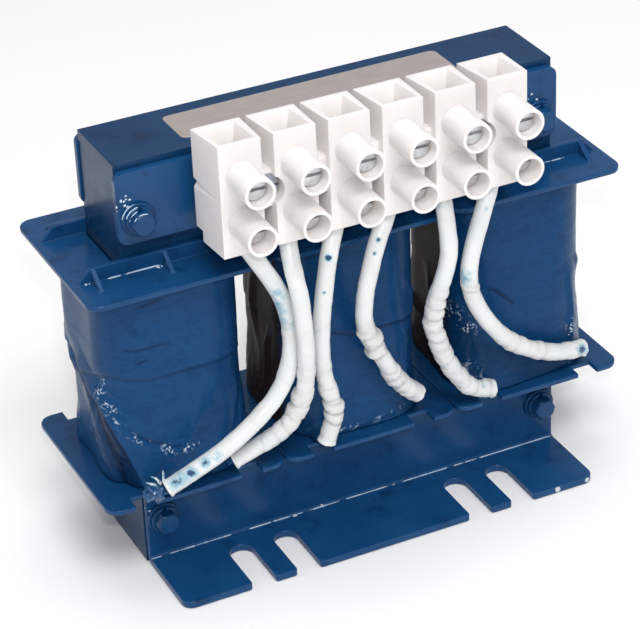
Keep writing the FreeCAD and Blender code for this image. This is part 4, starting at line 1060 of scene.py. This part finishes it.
def make_scraps():
    parts = []
    for number, (root, direction, length, width) in enumerate(SCRAPS):
        along = Vector(direction).normalized()
        across = along.cross(Vector((0.3, -0.8, 0.5))).normalized()
        face = along.cross(across)
        vertices = []
        for step in range(SCRAP_STEPS + 1):
            share = step / SCRAP_STEPS
            sway = face * (1.3 * noise.noise(Vector((share * 2.1, number * 3.7, 0.5)))) * share
            ragged = 1 + 0.5 * noise.noise(Vector((share * 5, number, 2)))
            half = width / 2 * (1 - 0.75 * share ** 1.5) * ragged
            centre = Vector(root) + along * (length * share) + sway
            for side, level in ((-1, 0), (1, 0), (1, 1), (-1, 1)):
                vertices.append(tuple(centre + across * (side * half) + face * (level * SCRAP_THICKNESS)))
        parts.append((vertices, tube_faces(SCRAP_STEPS + 1, 4) + end_faces(SCRAP_STEPS + 1, 4)))
    scraps = add_mesh("film_scraps", *join_meshes(parts))
    chance = random.Random(8)
    add_attribute(scraps, "stain", [chance.uniform(0.2, 1.1) for _ in scraps.data.vertices])
    for name in ("inside", "groove_shade"):
        add_attribute(scraps, name, [0.0] * len(scraps.data.vertices))
    dress(scraps, lead_sleeve, "lead")
    blob = add_mesh("varnish_blob", *lump_mesh(*BLOB, 2.0, 26, 36, 0.75))
    dress(blob, blob_varnish_glints, "fastener")


make_beads()
make_scraps()


# Rating plate, left bare.

# The yoke's top, on which the plate lies a little askew.
YOKE_TOP = 118.3
PLATE_SIDES = (-41.0, 37.6, -6.6, 7.4)
PLATE_CORNER = 1.8
PLATE_THICKNESS = 0.16
PLATE_SLANT = math.radians(0.4)
CORNER_STEPS = 8


def make_plate():
    left, right, front, back = PLATE_SIDES
    corner = PLATE_CORNER
    outline = []
    for cx, cy, start in (
        (right - corner, back - corner, 0), (left + corner, back - corner, 90),
        (left + corner, front + corner, 180), (right - corner, front + corner, 270),
    ):
        for step in range(CORNER_STEPS + 1):
            turn = math.radians(start + step * 90 / CORNER_STEPS)
            outline.append((cx + corner * math.cos(turn), cy + corner * math.sin(turn)))
    along, across = math.cos(PLATE_SLANT), math.sin(PLATE_SLANT)
    turned = [(x * along - y * across, x * across + y * along) for x, y in outline]
    vertices = []
    for inset, level in ((0.0, -0.02), (0.0, PLATE_THICKNESS * 0.6), (0.12, PLATE_THICKNESS)):
        for x, y in turned:
            vertices.append((x - math.copysign(inset, x), y - math.copysign(inset, y), YOKE_TOP + level))
    faces = tube_faces(3, len(turned)) + end_faces(3, len(turned))
    dress(add_mesh("rating_plate", vertices, faces, smooth=False), plate_foil, "screw")


make_plate()


# Floor, lights and camera.


FLOOR_REACH = 4000


def make_floor():
    corners = [(x * FLOOR_REACH, y * FLOOR_REACH, 0) for x, y in ((-1, -1), (1, -1), (1, 1), (-1, 1))]
    floor = add_mesh("floor", corners, [(0, 1, 2, 3)], smooth=False)
    floor.location.z = -0.2 * MM
    s = Shading("Floor")
    pale = s.mix(s.noise(3, 2), (0.94, 0.94, 0.94, 1), (0.96, 0.96, 0.96, 1))
    s.set(Base_Color=pale, Roughness=0.9, Specular_IOR_Level=0.1)
    floor.data.materials.append(s.material)


def add_light(name, place, aim, size, watts, colour=(1, 1, 1)):
    light = bpy.data.lights.new(name, "AREA")
    light.shape = "RECTANGLE"
    light.size, light.size_y = size
    light.energy = watts
    light.color = colour
    lamp = add_object(name, light)
    lamp.location = place
    lamp.rotation_euler = (Vector(aim) - Vector(place)).to_track_quat("-Z", "Y").to_euler()


def make_lights():
    """Soft studio light, and a small lamp beside the camera for the varnish's sparkles."""
    world = bpy.data.worlds.new("Studio")
    bpy.context.scene.world = world
    world.use_nodes = True
    background = world.node_tree.nodes["Background"]
    background.inputs["Color"].default_value = (1.0, 1.0, 1.0, 1)
    background.inputs["Strength"].default_value = 0.46
    aim = (0, 0, 0.06)
    add_light("key", (-0.15, -0.75, 1.15), aim, (0.6, 0.4), 8.5)
    add_light("side", (-1.1, 0.1, 0.4), aim, (0.8, 0.8), 0.5, (1.0, 0.84, 0.74))
    add_light("top", (0.1, 0.15, 1.3), aim, (0.8, 0.8), 5.3)
    add_light("flash", (-0.245, -0.55, 0.45), aim, (0.02, 0.02), 0.9)


CAMERA_ROWS = (
    (0.897860763, -0.438533427, -0.039172483),
    (-0.251411156, -0.437628931, -0.863292158),
    (0.361439457, 0.784964554, -0.503182042),
)
CAMERA_PLACE = (-0.258046707, -0.555269476, 0.408886244)
CAMERA_LENS = 148.0309
SENSOR = 36.0


def make_camera():
    """The photograph's camera: its right, down and forward directions are the rows."""
    data = bpy.data.cameras.new("camera")
    data.sensor_width = SENSOR
    data.lens = CAMERA_LENS
    data.clip_start, data.clip_end = 0.05, 20
    camera = add_object("camera", data)
    right, down, forward = (Vector(row) for row in CAMERA_ROWS)
    turn = Matrix((right, -down, -forward)).transposed()
    camera.matrix_world = Matrix.Translation(CAMERA_PLACE) @ turn.to_4x4()
    bpy.context.scene.camera = camera


make_floor()
make_lights()
make_camera()
bpy.context.scene.view_settings.view_transform = "Standard"
bpy.context.view_layer.update()
